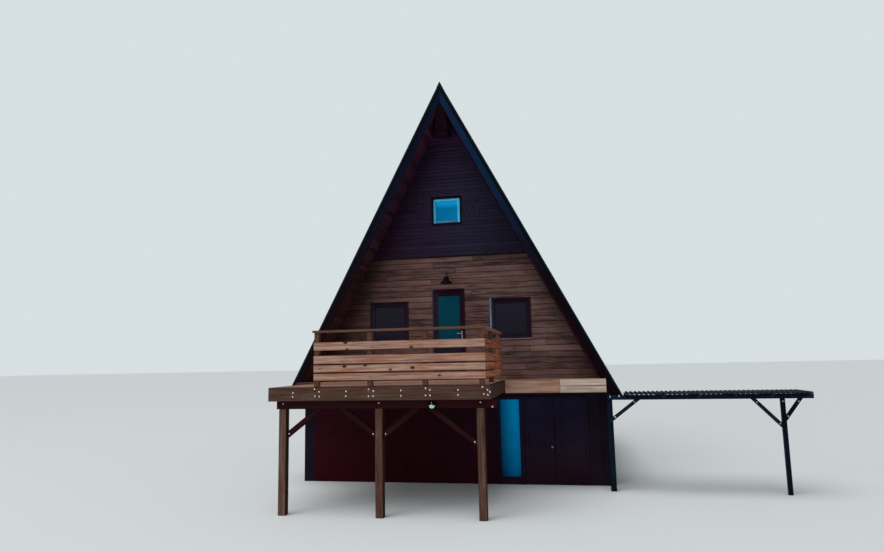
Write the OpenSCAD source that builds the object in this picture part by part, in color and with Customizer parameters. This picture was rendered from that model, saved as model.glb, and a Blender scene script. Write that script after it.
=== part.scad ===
// Steep a-frame cabin on a dark basement storey, with a timber terrace on posts at the level of
// its main floor and a narrow braced canopy at its right corner.
// Millimetres, +Z up, +Y towards the back of the cabin, +X to the right of someone who faces it.
// The origin is the centre of the cabin's plan, at the level of the ground at the basement doors.

/* [Cabin] */
// Height of the ridge above the main floor
ridge_rise = 6940; // [6700:10:7300]
// Pitch of the roof, from the level, in degrees
roof_pitch = 62.7; // [61.9:0.1:63.5]
// Thickness of a roof slope with its covering, square to the slope
roof_t = 220; // [195:5:245]
// How far the eaves hang below the main floor
eave_drop = 390; // [360:5:450]
// Length of the cabin between the outer faces of its end walls
cabin_l = 7200; // [6000:100:9000]
// Overhang of the roof past each end wall
overhang = 600; // [500:10:700]
// Thickness of the timber end walls
wall_t = 200; // [150:5:250]
// Height of the attic floor above the main floor
attic_rise = 2870; // [2750:10:3000]
// Thickness of the attic floor
attic_floor_t = 200; // [150:5:250]
// Thickness of the main floor, and depth of the terrace's edge beams
main_floor_t = 250; // [220:5:280]

/* [Roof finish] */
// Height of the standing seams over the boarding
seam_h = 30; // [20:1:40]
// Width of the fold on top of a standing seam
seam_w = 14; // [10:1:20]
// Height of that fold
seam_fold = 10; // [6:1:14]
// Thickness of the upright part of a seam
seam_stem = 6; // [4:0.5:8]
// Distance between standing seams
seam_pitch = 500; // [400:10:600]
// Thickness of the roof sheet
sheet_t = 6; // [3:1:10]
// Width of each wing of the ridge cap
ridge_cap_w = 160; // [120:5:220]
// Thickness of the bargeboards
bargeboard_t = 25; // [20:1:40]
// Width of the ridge beam
ridge_beam_w = 240; // [160:10:260]
// Height of the ridge beam's upright sides
ridge_beam_h = 478; // [400:2:550]

/* [Basement] */
// Thickness of the masonry walls
masonry_t = 250; // [200:10:300]
// Thickness of the ground slab
slab_t = 100; // [80:5:150]
// Distance from the centre line to the left edge of the entrance opening
entrance_x = 1060; // [900:10:1200]
// Width of the glass of the sidelight
sidelight_w = 450; // [350:10:500]
// Height of the panel under the sidelight
sidelight_sill = 150; // [100:10:400]
// Width of the doorway between its frame posts
door_w = 1330; // [1200:10:1400]
// Height of the doorway
door_h = 1850; // [1700:10:2100]
// Height of the lintel over the entrance, up to the main floor
lintel_h = 150; // [100:5:300]
// Width of the outer frame members of the entrance
frame_w = 50; // [40:1:70]
// Width of the post between sidelight and doorway
mullion_w = 92; // [70:1:110]
// How far the entrance frame stands out of the wall
frame_proud = 25; // [15:1:35]
// How deep the sidelight's glass lies behind the wall's face
sidelight_in = 30; // [15:1:60]
// Depth of the entrance frame inside the wall
frame_in = 95; // [80:1:120]
// Thickness of a door leaf
leaf_t = 45; // [40:1:60]
// Gap between a door leaf and its frame
leaf_gap = 5; // [5:0.5:8]
// Gap between the two door leaves
meeting_gap = 8; // [8:0.5:12]
// Gap between the door leaves and the ground
leaf_foot = 12; // [10:1:20]
// Radius of the hinge knuckles
knuckle_r = 8; // [6:0.5:10]
// Height of one hinge knuckle
knuckle_h = 55; // [40:1:70]
// Running gap between two knuckles of a hinge
knuckle_gap = 0.3; // [0.2:0.1:0.6]
// Width of a hinge plate
hinge_plate_w = 60; // [40:1:80]
// Thickness of a hinge plate
hinge_plate_t = 3; // [2:0.5:5]
// Height of the lower hinges above the ground
hinge_foot = 260; // [200:5:400]
// Distance of the upper hinges below the doorway's head
hinge_head = 320; // [200:5:400]
// Height of the door knob above the ground
knob_z = 810; // [750:10:1000]
// Radius of the door knob
knob_r = 25; // [20:1:32]
// Radius of the rose behind the knob
rose_r = 28; // [24:1:34]
// Distance from the leaf's free edge to the middle of the knob
knob_in = 60; // [45:1:80]

/* [Windows and terrace door] */
// Width of the main storey's windows
window_w = 940; // [850:10:1050]
// Height of the main storey's windows
window_h = 925; // [850:5:1000]
// Height of their sills above the main floor
window_sill = 917; // [850:1:1000]
// Distance of their centre lines from the cabin's centre line
window_x = 1430; // [1380:5:1500]
// Width of the gable window
gable_window_w = 730; // [650:5:800]
// Height of the gable window
gable_window_h = 680; // [600:5:750]
// Height of the gable window's sill above the main floor
gable_window_sill = 3634; // [3500:2:3750]
// Width of the terrace door's opening
terrace_door_w = 765; // [740:5:850]
// Height of the terrace door's opening
terrace_door_h = 2100; // [2050:5:2200]
// Width of a fixed window frame, seen from outside
casing_w = 45; // [35:1:60]
// Width of a sash, seen from outside
sash_w = 55; // [45:1:70]
// Depth of the fixed frames
casing_d = 110; // [90:5:140]
// How far the fixed frames stand out of the wall
casing_proud = 28; // [22:1:35]
// How far a sash lies behind the front of its frame
sash_inset = 35; // [25:1:45]
// Depth of a sash
sash_d = 55; // [45:1:65]
// Thickness of the double glazing
glazing_t = 20; // [16:1:28]
// Height of the terrace door's lower panel
door_panel_h = 620; // [400:10:800]
// Height of the door's rails
rail_h = 105; // [90:5:130]
// Width of the door's stiles beside the frame
stile_w = 75; // [60:1:95]
// How deep the face of the lower panel lies behind the stiles
panel_in = 14; // [6:1:20]
// Width of the slope round that panel
panel_margin = 20; // [10:1:40]
// How far a window sill stands out of the wall
sill_out = 55; // [45:1:80]
// Thickness of a window sill at its nose
sill_t = 28; // [20:1:40]
// Fall of a window sill from the wall to its nose
sill_fall = 7; // [4:0.5:12]
// How far a window sill runs past its frame on each side
sill_past = 30; // [10:1:60]
// Width of a shutter leaf
shutter_w = 370; // [330:5:400]
// Gap between the gable window and its shutters
shutter_gap = 22; // [10:1:40]
// How far a shutter reaches below the gable window
shutter_down = 20; // [0:5:40]
// How far a shutter reaches above the gable window
shutter_up = 40; // [0:5:60]
// Thickness of a shutter's boards
shutter_t = 22; // [18:1:28]
// Thickness of the ledges on a shutter
ledge_t = 18; // [14:1:24]
// Width of the ledges on a shutter
ledge_w = 90; // [70:5:110]
// Distance from a shutter's end to its ledge
ledge_end = 80; // [50:5:110]
// Distance from a shutter's side to the end of its ledges
ledge_in = 15; // [5:1:30]

/* [Terrace] */
// Depth of the balcony from the front wall to its front edge
balcony_d = 3450; // [3200:10:3700]
// Distance from the centre line to the balcony's right edge
balcony_right = 1330; // [1250:10:1400]
// Distance from the centre line to the balcony's left edge
balcony_left = 2800; // [2700:10:2900]
// Depth of the narrow walkway beside the balcony
walkway_d = 800; // [740:10:900]
// How far the walkway's ends reach past the space between the roof slopes
walkway_past = 104; // [80:2:140]
// Gap between the walkway's boards and the roof slopes
slope_gap = 12; // [11:1:25]
// Gap between the walkway's ends and the bargeboards
verge_gap = 10; // [5:1:20]
// Thickness of the terrace boards
deck_t = 30; // [25:1:35]
// Thickness of the edge boards
edge_t = 45; // [35:1:55]
// Depth of the walkway's edge boards
walkway_edge_h = 280; // [250:5:320]
// Width of a joist
joist_w = 60; // [50:1:80]
// Distance between joists
joist_pitch = 510; // [450:10:600]
// Width of the beam under the joists
girder_w = 140; // [120:5:180]
// Height of the beam under the joists
girder_h = 150; // [120:5:200]
// Distance from the terrace's front edge to the beam
girder_back = 150; // [100:5:250]
// How far the beam runs past the balcony's right edge
girder_out = 70; // [40:5:120]
// Distance from the balcony's left edge to the beam's end
girder_in = 100; // [50:5:200]
// Side of the terrace posts
post_w = 140; // [120:5:160]
// Distance from the balcony's right edge to its first post's centre
post_in = 210; // [180:5:260]
// Distance between the terrace posts
post_pitch = 1850; // [1750:10:1950]
// Width of the braces under the terrace
brace_w = 100; // [80:5:120]
// Thickness of the braces under the terrace
brace_t = 60; // [45:1:80]
// Reach of the right post's brace along the beam
brace_run = 900; // [800:10:950]
// How far below the beam that brace meets the post
brace_fall = 620; // [550:10:700]
// Reach of the other posts' braces along the beam
inner_brace_run = 700; // [600:10:720]

/* [Railing] */
// Height of the railing's top above the terrace
railing_h = 1030; // [1000:5:1100]
// Thickness of the top board of the railing
cap_t = 40; // [30:1:50]
// Width of the top board of the railing
cap_w = 170; // [150:5:200]
// How far the top board stands past the railing boards
cap_over = 20; // [10:1:40]
// Side of the railing posts
rail_post_w = 90; // [80:1:100]
// Distance between the railing posts of the front
rail_post_pitch = 1016; // [980:1:1050]
// Distance from the balcony's right edge to the side railing's face
railing_in = 80; // [65:1:95]
// How far the side railing runs past the front of the walkway
side_past = 350; // [250:10:450]
// Thickness of the railing boards
rail_board_t = 30; // [22:1:35]
// Height of the two upper railing boards
upper_board_h = 150; // [140:1:160]
// Height of the two lower railing boards
lower_board_h = 127; // [120:1:140]
// Height of the lowest railing board's underside above the terrace
board_foot = 115; // [90:1:130]
// Gap between the three lower boards
board_gap = 24; // [15:1:30]
// Gap under the top railing board
open_gap = 95; // [80:1:110]

/* [Canopy] */
// Height of the canopy beam's underside below the main floor
canopy_drop = 445; // [430:1:480]
// Height of the canopy beam
canopy_beam_h = 95; // [80:5:120]
// Thickness of the canopy beam
canopy_beam_t = 60; // [50:1:80]
// How far the beam's end lies inside the corner post's inner face
beam_in = 10; // [0:1:30]
// Distance from the centre line to the canopy's far end
canopy_end = 7400; // [7000:10:8000]
// How far the canopy beam runs on past its last bearer
canopy_beam_past = 170; // [120:10:220]
// Depth of the canopy's roof
canopy_d = 900; // [700:10:1100]
// Gap between the roof's eaves and the canopy's first bearer
canopy_clear = 30; // [15:1:60]
// Side of the canopy post
canopy_post_w = 80; // [70:1:100]
// Distance from the canopy's far end to its post's centre
canopy_post_in = 575; // [500:5:650]
// Side of the corner post at the cabin
corner_post_w = 115; // [100:5:140]
// Width of the canopy's braces
canopy_brace_w = 70; // [60:1:90]
// Thickness of the canopy's braces
canopy_brace_t = 45; // [35:1:60]
// Reach along the beam of the braces at the cabin and at the post's near side
canopy_brace_run = 500; // [450:10:560]
// How far below the beam the brace at the post's near side meets the post
canopy_brace_fall = 530; // [450:10:560]
// How far below the beam the brace at the cabin meets its post
corner_brace_fall = 430; // [375:10:485]
// Reach along the beam of the short brace at the post's far side
short_brace_run = 290; // [250:10:330]
// How far below the beam the short brace meets the post
short_brace_fall = 390; // [300:10:420]
// Height of the cross bearers
bearer_h = 60; // [50:1:80]
// Width of the cross bearers
bearer_w = 60; // [50:1:80]
// How deep the bearers are let into the beam
bearer_notch = 35; // [25:1:40]
// Distance between the bearers
bearer_pitch = 610; // [550:10:700]
// Pitch of the ribs of the profiled sheet
rib_pitch = 92; // [80:1:110]
// Height of those ribs
rib_h = 32; // [25:1:40]
// Thickness of the profiled sheet
canopy_sheet_t = 3; // [2:0.5:4]
// How far the sheet runs past the bearers on every side
sheet_over = 20; // [10:1:40]

/* [Lamps] */
// Radius of the wall lamp's shade
shade_r = 148; // [130:1:165]
// Thickness of the shade
shade_t = 6; // [4:1:8]
// Height of the shade's rim above the terrace door's opening
shade_rise = 105; // [70:5:130]
// How far the lamp's middle stands out of the wall
lamp_out = 250; // [200:5:300]
// Height from the rim of the shade to the lamp's level arm
arm_rise = 235; // [210:5:260]
// Radius of the lamp's arm
arm_r = 9; // [6:0.5:12]
// Radius of the bend in the arm
bend_r = 70; // [40:5:72]
// Radius of the plate that fixes the lamp to the wall
wall_plate_r = 38; // [35:1:60]
// Thickness of that plate
wall_plate_t = 14; // [8:1:20]
// Radius of the round lamp under the terrace
round_lamp_r = 75; // [65:1:85]
// Distance from the centre line to the round lamp
round_lamp_x = 260; // [110:10:410]
// How far the round lamp's centre sits below the middle of the terrace beam
round_lamp_drop = 22; // [0:1:44]

/* [Hidden] */
$fn = 48;

// A whisker of length that lets a cutting solid pass a face
past = 10;
// Joint left between like boards that meet
board_joint = 2;
// Hairline left where a piece is fitted to a slanting face or to one worked out from it
fit = 0.3;

// Places along the cabin
front_y = -cabin_l / 2;
back_y = cabin_l / 2;
roof_y0 = front_y - overhang;
roof_y1 = back_y + overhang;

// Heights
entrance_head = door_h + frame_w;
masonry_top = entrance_head + lintel_h;
main_floor_z = masonry_top + main_floor_t;
ridge_z = main_floor_z + ridge_rise;
eave_z = main_floor_z - eave_drop;
attic_z = main_floor_z + attic_rise;

// Half width of the roof at height z, at depth d square to its outer face
function roof_x(z, d) = (ridge_z - z) / tan(roof_pitch) - d / sin(roof_pitch);
// Height of that face at half width x
function roof_z(x, d) = ridge_z - (x + d / sin(roof_pitch)) * tan(roof_pitch);

// Depth under the outer face of what is fitted below the slopes
under_t = roof_t + fit;
ridge_beam_z = roof_z(ridge_beam_w / 2, roof_t) - ridge_beam_h;

base_half = roof_x(eave_z, under_t);
base_inner = base_half - masonry_t;
inner_fit = base_inner - fit;

// Entrance, from left to right
glass_x0 = entrance_x + frame_w;
mullion_x0 = glass_x0 + sidelight_w;
doorway_x0 = mullion_x0 + mullion_w;
doorway_x1 = doorway_x0 + door_w;
entrance_x1 = doorway_x1 + frame_w;
frame_y = front_y - frame_proud;
leaf_w = (door_w - 2 * leaf_gap - meeting_gap) / 2;
hinge_out = knuckle_r + 1;
hinge_y = frame_y - hinge_out;
hinge_left_x = doorway_x0 + leaf_gap / 2;
hinge_right_x = doorway_x1 - leaf_gap / 2;
hinge_zs = [hinge_foot, door_h - hinge_head];

// Terrace door
door_member = casing_w + stile_w;
door_pane_z = main_floor_z + door_panel_h + rail_h;
door_pane_h = terrace_door_h - casing_w - rail_h - door_panel_h - rail_h;

// Terrace
deck_y0 = front_y - balcony_d;
walkway_y0 = front_y - walkway_d;
walkway_inner = roof_x(main_floor_z, roof_t) - slope_gap;
walkway_half = walkway_inner + walkway_past;
joist_y1 = front_y - edge_t;
girder_y0 = deck_y0 + girder_back;
girder_top = main_floor_z - main_floor_t;
girder_z0 = girder_top - girder_h;
girder_x0 = -balcony_left + girder_in;
girder_x1 = balcony_right + girder_out;
deck_post_x = balcony_right - post_in;
deck_post_xs = [for (i = [0:2]) deck_post_x - i * post_pitch];

// Railing
railing_face_x = balcony_right - railing_in;
corner_rail_x = railing_face_x - rail_board_t - rail_post_w / 2;
rail_post_xs = [for (i = [0:3]) corner_rail_x - i * rail_post_pitch];
rail_end_x = rail_post_xs[3] - rail_post_w / 2;
rail_post_y = deck_y0 + rail_board_t + rail_post_w / 2;
side_end_y = walkway_y0 + side_past - rail_post_w / 2;
side_mid_y = (rail_post_y + side_end_y) / 2;
rail_post_h = railing_h - cap_t;
board_3 = board_foot + lower_board_h + board_gap;
board_2 = board_3 + lower_board_h + board_gap;
board_1 = board_2 + upper_board_h + open_gap;

// Canopy, in the plane of the front bargeboards
beam_y1 = roof_y0;
beam_y0 = beam_y1 - canopy_beam_t;
beam_z0 = main_floor_z - canopy_drop;
beam_z1 = beam_z0 + canopy_beam_h;
corner_post_x = walkway_half + board_joint;
beam_x0 = corner_post_x + beam_in;
canopy_y0 = (beam_y0 + beam_y1) / 2 - canopy_d / 2;
bearer_z0 = beam_z1 - bearer_notch;
sheet_z0 = bearer_z0 + bearer_h;
canopy_x0 = roof_x(eave_z, 0) + canopy_clear;
canopy_x1 = canopy_end - canopy_beam_past;
canopy_post_x = canopy_end - canopy_post_in;
bearer_count = floor((canopy_x1 - canopy_x0 - bearer_w) / bearer_pitch);
bearer_step = (canopy_x1 - canopy_x0 - bearer_w) / bearer_count;

// Long member along X
module bar(x0, x1, y0, y1, z0, z1) {
    translate([x0, y0, z0]) cube([x1 - x0, y1 - y0, z1 - z0]);
}

// Profile drawn in the plane of the gables, drawn out along Y from y0 to y1
module along_y(y0, y1) {
    translate([0, y1, 0]) rotate([90, 0, 0]) linear_extrude(height = y1 - y0) children();
}

// Both sides of the centre line
module both_sides() {
    children();
    mirror([1, 0, 0]) children();
}

// Outline of a layer of the right roof slope between depths d0 and d1, from x0 at the ridge
module slope_outline(d0, d1, x0) {
    polygon([
        [x0, roof_z(x0, d0)],
        [roof_x(eave_z, d0), eave_z],
        [roof_x(eave_z, d1), eave_z],
        [x0, roof_z(x0, d1)]
    ]);
}

// Outline of what fits between the slopes from height z0 to height z1
module between_slopes(z0, z1) {
    polygon([
        [-roof_x(z0, under_t), z0],
        [roof_x(z0, under_t), z0],
        [roof_x(z1, under_t), z1],
        [-roof_x(z1, under_t), z1]
    ]);
}

// Basement
module side_wall_outline() {
    polygon([
        [base_inner, 0],
        [base_half, 0],
        [base_half, eave_z],
        [roof_x(masonry_top, under_t), masonry_top],
        [base_inner, masonry_top]
    ]);
}

module basement_side_walls() color([0.10, 0.09, 0.10]) {
    both_sides() along_y(front_y, back_y) side_wall_outline();
}

module basement_back_wall() color([0.10, 0.09, 0.10]) {
    bar(-inner_fit, inner_fit, back_y - masonry_t, back_y, 0, masonry_top);
}

module basement_front_wall() color([0.10, 0.09, 0.10]) {
    bar(-inner_fit, entrance_x, front_y, front_y + masonry_t, 0, masonry_top);
    bar(entrance_x1, inner_fit, front_y, front_y + masonry_t, 0, masonry_top);
}

module basement_lintel() color([0.10, 0.09, 0.10]) {
    bar(entrance_x, entrance_x1, front_y, front_y + masonry_t, entrance_head, masonry_top);
}

module basement_floor() color([0.35, 0.34, 0.33]) {
    bar(-inner_fit, inner_fit, front_y + masonry_t, back_y - masonry_t, 0, slab_t);
}

// Entrance: one frame for the sidelight and the pair of doors
module entrance_outline() {
    difference() {
        translate([entrance_x, 0]) square([entrance_x1 - entrance_x, entrance_head]);
        translate([glass_x0, sidelight_sill]) square([sidelight_w, door_h - sidelight_sill]);
        translate([doorway_x0, -past]) square([door_w, door_h + past]);
    }
}

// Hinge half on plates: a knuckle on the hinge's axis and the plate that fixes it.
// The plate lies towards +X on the door side and towards -X on the frame side.
module hinge_half(plate_dir, z0) {
    translate([0, 0, z0]) cylinder(r = knuckle_r, h = knuckle_h);
    plate_x0 = plate_dir > 0 ? 0 : -hinge_plate_w;
    translate([plate_x0, hinge_out - hinge_plate_t, z0])
        cube([hinge_plate_w, hinge_plate_t, knuckle_h]);
    translate([plate_dir > 0 ? 0 : -knuckle_r, 0, z0])
        cube([knuckle_r, hinge_out, knuckle_h]);
}

module entrance_frame() color([0.13, 0.10, 0.10]) {
    along_y(frame_y, front_y + frame_in) entrance_outline();
    for (z = hinge_zs) {
        translate([hinge_left_x, hinge_y, 0]) hinge_half(-1, z);
        translate([hinge_right_x, hinge_y, 0]) mirror([1, 0, 0]) hinge_half(-1, z);
    }
}

module sidelight_glass() color([0.45, 0.70, 0.80, 0.6]) {
    glass_y = front_y + sidelight_in;
    bar(glass_x0, mullion_x0, glass_y, glass_y + glazing_t, sidelight_sill, door_h);
}

// A door leaf with its two hinge halves, hung on the left
module door_leaf() {
    leaf_x0 = leaf_gap / 2;
    translate([leaf_x0, hinge_out, leaf_foot])
        cube([leaf_w, leaf_t, door_h - leaf_gap - leaf_foot]);
    for (z = hinge_zs) hinge_half(1, z + knuckle_h + knuckle_gap);
}

module door_leaf_left() color([0.09, 0.08, 0.10]) {
    translate([hinge_left_x, hinge_y, 0]) door_leaf();
}

module door_leaf_right() color([0.09, 0.08, 0.10]) {
    translate([hinge_right_x, hinge_y, 0]) mirror([1, 0, 0]) door_leaf();
}

// Round knob on a rose, near the free edge of the left leaf
module door_knob() color("silver") {
    knob_x = doorway_x0 + leaf_gap + leaf_w - knob_in;
    neck_r = knob_r * 0.4;
    neck_l = rose_r;
    translate([knob_x, frame_y, knob_z]) rotate([90, 0, 0]) rotate_extrude() union() {
        polygon([[0, 0], [rose_r, 0], [rose_r, 5], [rose_r - 4, 8], [neck_r, 10], [neck_r, neck_l],
            [0, neck_l]]);
        intersection() {
            translate([0, neck_l + knob_r * 0.65]) scale([1, 0.72]) circle(r = knob_r);
            translate([0, neck_l - knob_r]) square([knob_r, 3 * knob_r]);
        }
    }
}

// Floors between the slopes
module floors() color([0.55, 0.40, 0.27]) {
    along_y(front_y, back_y) between_slopes(masonry_top, main_floor_z);
    along_y(front_y + wall_t, back_y - wall_t) between_slopes(attic_z - attic_floor_t, attic_z);
}

// Openings of one end wall, as outlines in the wall's own plane
module storey_window_outline(side) {
    translate([side * window_x - window_w / 2, main_floor_z + window_sill])
        square([window_w, window_h]);
}

module gable_window_outline() {
    translate([-gable_window_w / 2, main_floor_z + gable_window_sill])
        square([gable_window_w, gable_window_h]);
}

// One half of the front wall beside the terrace door
module front_wall_side(side) {
    mirror([side < 0 ? 1 : 0, 0, 0]) along_y(front_y, front_y + wall_t) difference() {
        polygon([
            [terrace_door_w / 2, main_floor_z],
            [roof_x(main_floor_z, under_t), main_floor_z],
            [roof_x(attic_z, under_t), attic_z],
            [terrace_door_w / 2, attic_z]
        ]);
        storey_window_outline(1);
    }
}

module front_wall_left() color([0.50, 0.37, 0.28]) front_wall_side(-1);

module front_wall_right() color([0.50, 0.37, 0.28]) front_wall_side(1);

module front_wall_head() color([0.50, 0.37, 0.28]) {
    half = terrace_door_w / 2;
    bar(-half, half, front_y, front_y + wall_t, main_floor_z + terrace_door_h, attic_z);
}

// Gable triangle, notched for the ridge beam
module gable_outline() {
    difference() {
        polygon([
            [-roof_x(attic_z, under_t), attic_z],
            [roof_x(attic_z, under_t), attic_z],
            [0, roof_z(0, under_t)]
        ]);
        gable_window_outline();
        translate([-ridge_beam_w / 2 - fit, ridge_beam_z - fit])
            square([ridge_beam_w + 2 * fit, ridge_rise]);
    }
}

module front_gable_wall() color([0.24, 0.17, 0.18]) {
    along_y(front_y, front_y + wall_t) gable_outline();
}

module back_wall() color([0.50, 0.37, 0.28]) {
    along_y(back_y - wall_t, back_y) difference() {
        between_slopes(main_floor_z, attic_z);
        for (side = [-1, 1]) storey_window_outline(side);
    }
}

module back_gable_wall() color([0.24, 0.17, 0.18]) {
    along_y(back_y - wall_t, back_y) gable_outline();
}

// Roof
module roof_slope() {
    along_y(roof_y0 + bargeboard_t, roof_y1 - bargeboard_t)
        slope_outline(seam_h + fit, roof_t, 0);
}

module roof_left() color([0.27, 0.18, 0.16]) mirror([1, 0, 0]) roof_slope();

module roof_right() color([0.27, 0.18, 0.16]) roof_slope();

// Standing seam sheet of one slope: a flat pan with seams at an even pitch, each an upright
// stem with its fold lying towards the front
module roof_cover() {
    roof_l = roof_y1 - roof_y0;
    bays = round(roof_l / seam_pitch);
    bay = (roof_l - seam_w) / bays;
    along_y(roof_y0, roof_y1) slope_outline(seam_h - sheet_t, seam_h, board_joint);
    for (i = [0:bays]) {
        seam_y1 = roof_y0 + i * bay + seam_w;
        along_y(seam_y1 - seam_stem, seam_y1) slope_outline(0, seam_h, board_joint);
        along_y(seam_y1 - seam_w, seam_y1) slope_outline(0, seam_fold, board_joint);
    }
}

module roof_covers() color([0.10, 0.13, 0.17]) both_sides() roof_cover();

module ridge_cap() color([0.10, 0.13, 0.17]) {
    wing_x = ridge_cap_w * cos(roof_pitch);
    cap_top = -sheet_t - fit;
    along_y(roof_y0, roof_y1) polygon([
        [0, roof_z(0, cap_top)],
        [wing_x, roof_z(wing_x, cap_top)],
        [wing_x, roof_z(wing_x, -fit)],
        [0, roof_z(0, -fit)],
        [-wing_x, roof_z(wing_x, -fit)],
        [-wing_x, roof_z(wing_x, cap_top)]
    ]);
}

module ridge_beam() color([0.30, 0.14, 0.12]) {
    half = ridge_beam_w / 2;
    along_y(roof_y0 + bargeboard_t, roof_y1 - bargeboard_t) polygon([
        [-half, ridge_beam_z],
        [half, ridge_beam_z],
        [half, roof_z(half, under_t)],
        [0, roof_z(0, under_t)],
        [-half, roof_z(half, under_t)]
    ]);
}

module bargeboards() color([0.08, 0.10, 0.13]) {
    for (y = [roof_y0, roof_y1 - bargeboard_t])
        both_sides() along_y(y, y + bargeboard_t)
            slope_outline(seam_h + fit, roof_t, board_joint / 2);
}

// Rectangular ring in the plane of a wall
module ring(w, h, member) {
    difference() {
        square([w, h]);
        translate([member, member]) square([w - 2 * member, h - 2 * member]);
    }
}

// Window of the front wall: a fixed frame and, behind its face, a sash
module window_frame(x, z, w, h) {
    sash_front = front_y - casing_proud + sash_inset;
    translate([x, 0, z]) {
        along_y(front_y - casing_proud, front_y - casing_proud + casing_d) ring(w, h, casing_w);
        along_y(sash_front, sash_front + sash_d)
            translate([casing_w, casing_w]) ring(w - 2 * casing_w, h - 2 * casing_w, sash_w);
    }
}

module window_pane(x, z, w, h) {
    pane_y = front_y - casing_proud + sash_inset + (sash_d - glazing_t) / 2;
    member = casing_w + sash_w;
    translate([x + member, pane_y, z + member])
        cube([w - 2 * member, glazing_t, h - 2 * member]);
}

// The three windows of one end wall
module end_wall_frames() {
    for (side = [-1, 1])
        window_frame(side * window_x - window_w / 2, main_floor_z + window_sill, window_w, window_h);
    window_frame(-gable_window_w / 2, main_floor_z + gable_window_sill,
        gable_window_w, gable_window_h);
}

module end_wall_panes() {
    for (side = [-1, 1])
        window_pane(side * window_x - window_w / 2, main_floor_z + window_sill, window_w, window_h);
    window_pane(-gable_window_w / 2, main_floor_z + gable_window_sill,
        gable_window_w, gable_window_h);
}

module window_frames() color([0.16, 0.12, 0.12]) {
    end_wall_frames();
    mirror([0, 1, 0]) end_wall_frames();
}

// Sill boards under the windows of the main storey, falling to a nose that throws off water
module window_sill_board(x) {
    sill_top = main_floor_z + window_sill;
    x0 = x - window_w / 2 - sill_past;
    nose_y = front_y - sill_out;
    translate([x0, 0, 0]) rotate([90, 0, 90]) linear_extrude(height = window_w + 2 * sill_past)
        polygon([
            [front_y, sill_top],
            [nose_y, sill_top - sill_fall],
            [nose_y, sill_top - sill_fall - sill_t],
            [nose_y + sill_out / 3, sill_top - sill_t],
            [front_y, sill_top - sill_t]
        ]);
}

module end_wall_sills() {
    for (side = [-1, 1]) window_sill_board(side * window_x);
}

module window_sills() color([0.50, 0.37, 0.28]) {
    end_wall_sills();
    mirror([0, 1, 0]) end_wall_sills();
}

module window_glass() color([0.30, 0.60, 0.68, 0.6]) {
    end_wall_panes();
    mirror([0, 1, 0]) end_wall_panes();
    pane_y = front_y - casing_proud + sash_inset + (sash_d - glazing_t) / 2;
    bar(-terrace_door_w / 2 + door_member, terrace_door_w / 2 - door_member,
        pane_y, pane_y + glazing_t, door_pane_z, door_pane_z + door_pane_h);
}

module terrace_door_frame() color([0.16, 0.12, 0.12]) {
    along_y(front_y - casing_proud, front_y - casing_proud + casing_d)
        translate([-terrace_door_w / 2, main_floor_z]) difference() {
            square([terrace_door_w, terrace_door_h]);
            translate([casing_w, -past])
                square([terrace_door_w - 2 * casing_w, terrace_door_h - casing_w + past]);
        }
}

// Leaf of the terrace door: stiles and rails round the glass, and a sunk lower panel
module terrace_door_leaf() color([0.14, 0.11, 0.11]) {
    leaf_half = terrace_door_w / 2 - casing_w;
    leaf_front = front_y - casing_proud + sash_inset;
    leaf_top = terrace_door_h - casing_w;
    panel_half = terrace_door_w / 2 - door_member;
    difference() {
        along_y(leaf_front, leaf_front + sash_d) difference() {
            translate([-leaf_half, main_floor_z]) square([2 * leaf_half, leaf_top]);
            translate([-panel_half, door_pane_z]) square([2 * panel_half, door_pane_h]);
        }
        along_y(leaf_front - past, leaf_front + panel_in) translate([-panel_half, main_floor_z + rail_h])
            square([2 * panel_half, door_panel_h - rail_h]);
    }
    along_y(leaf_front + panel_in / 2, leaf_front + panel_in)
        translate([-panel_half + panel_margin, main_floor_z + rail_h + panel_margin])
            square([2 * (panel_half - panel_margin), door_panel_h - rail_h - 2 * panel_margin]);
}

// Ledged shutters, folded back against the gable on both sides of its window
module shutter() {
    z0 = main_floor_z + gable_window_sill - shutter_down;
    shutter_h = gable_window_h + shutter_down + shutter_up;
    x0 = gable_window_w / 2 + shutter_gap;
    x1 = x0 + shutter_w;
    ledge_y1 = front_y - shutter_t;
    foot_z = z0 + ledge_end + ledge_w;
    head_z = z0 + shutter_h - ledge_end - ledge_w;
    bar(x0, x1, ledge_y1, front_y, z0, z0 + shutter_h);
    for (z = [foot_z - ledge_w, head_z])
        bar(x0 + ledge_in, x1 - ledge_in, ledge_y1 - ledge_t, ledge_y1, z, z + ledge_w);
    along_y(ledge_y1 - ledge_t, ledge_y1) polygon([
        [x0 + ledge_in, foot_z],
        [x0 + ledge_in + ledge_w, foot_z],
        [x1 - ledge_in, head_z],
        [x1 - ledge_in - ledge_w, head_z]
    ]);
}

module gable_shutters() color([0.22, 0.15, 0.16]) both_sides() shutter();

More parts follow.
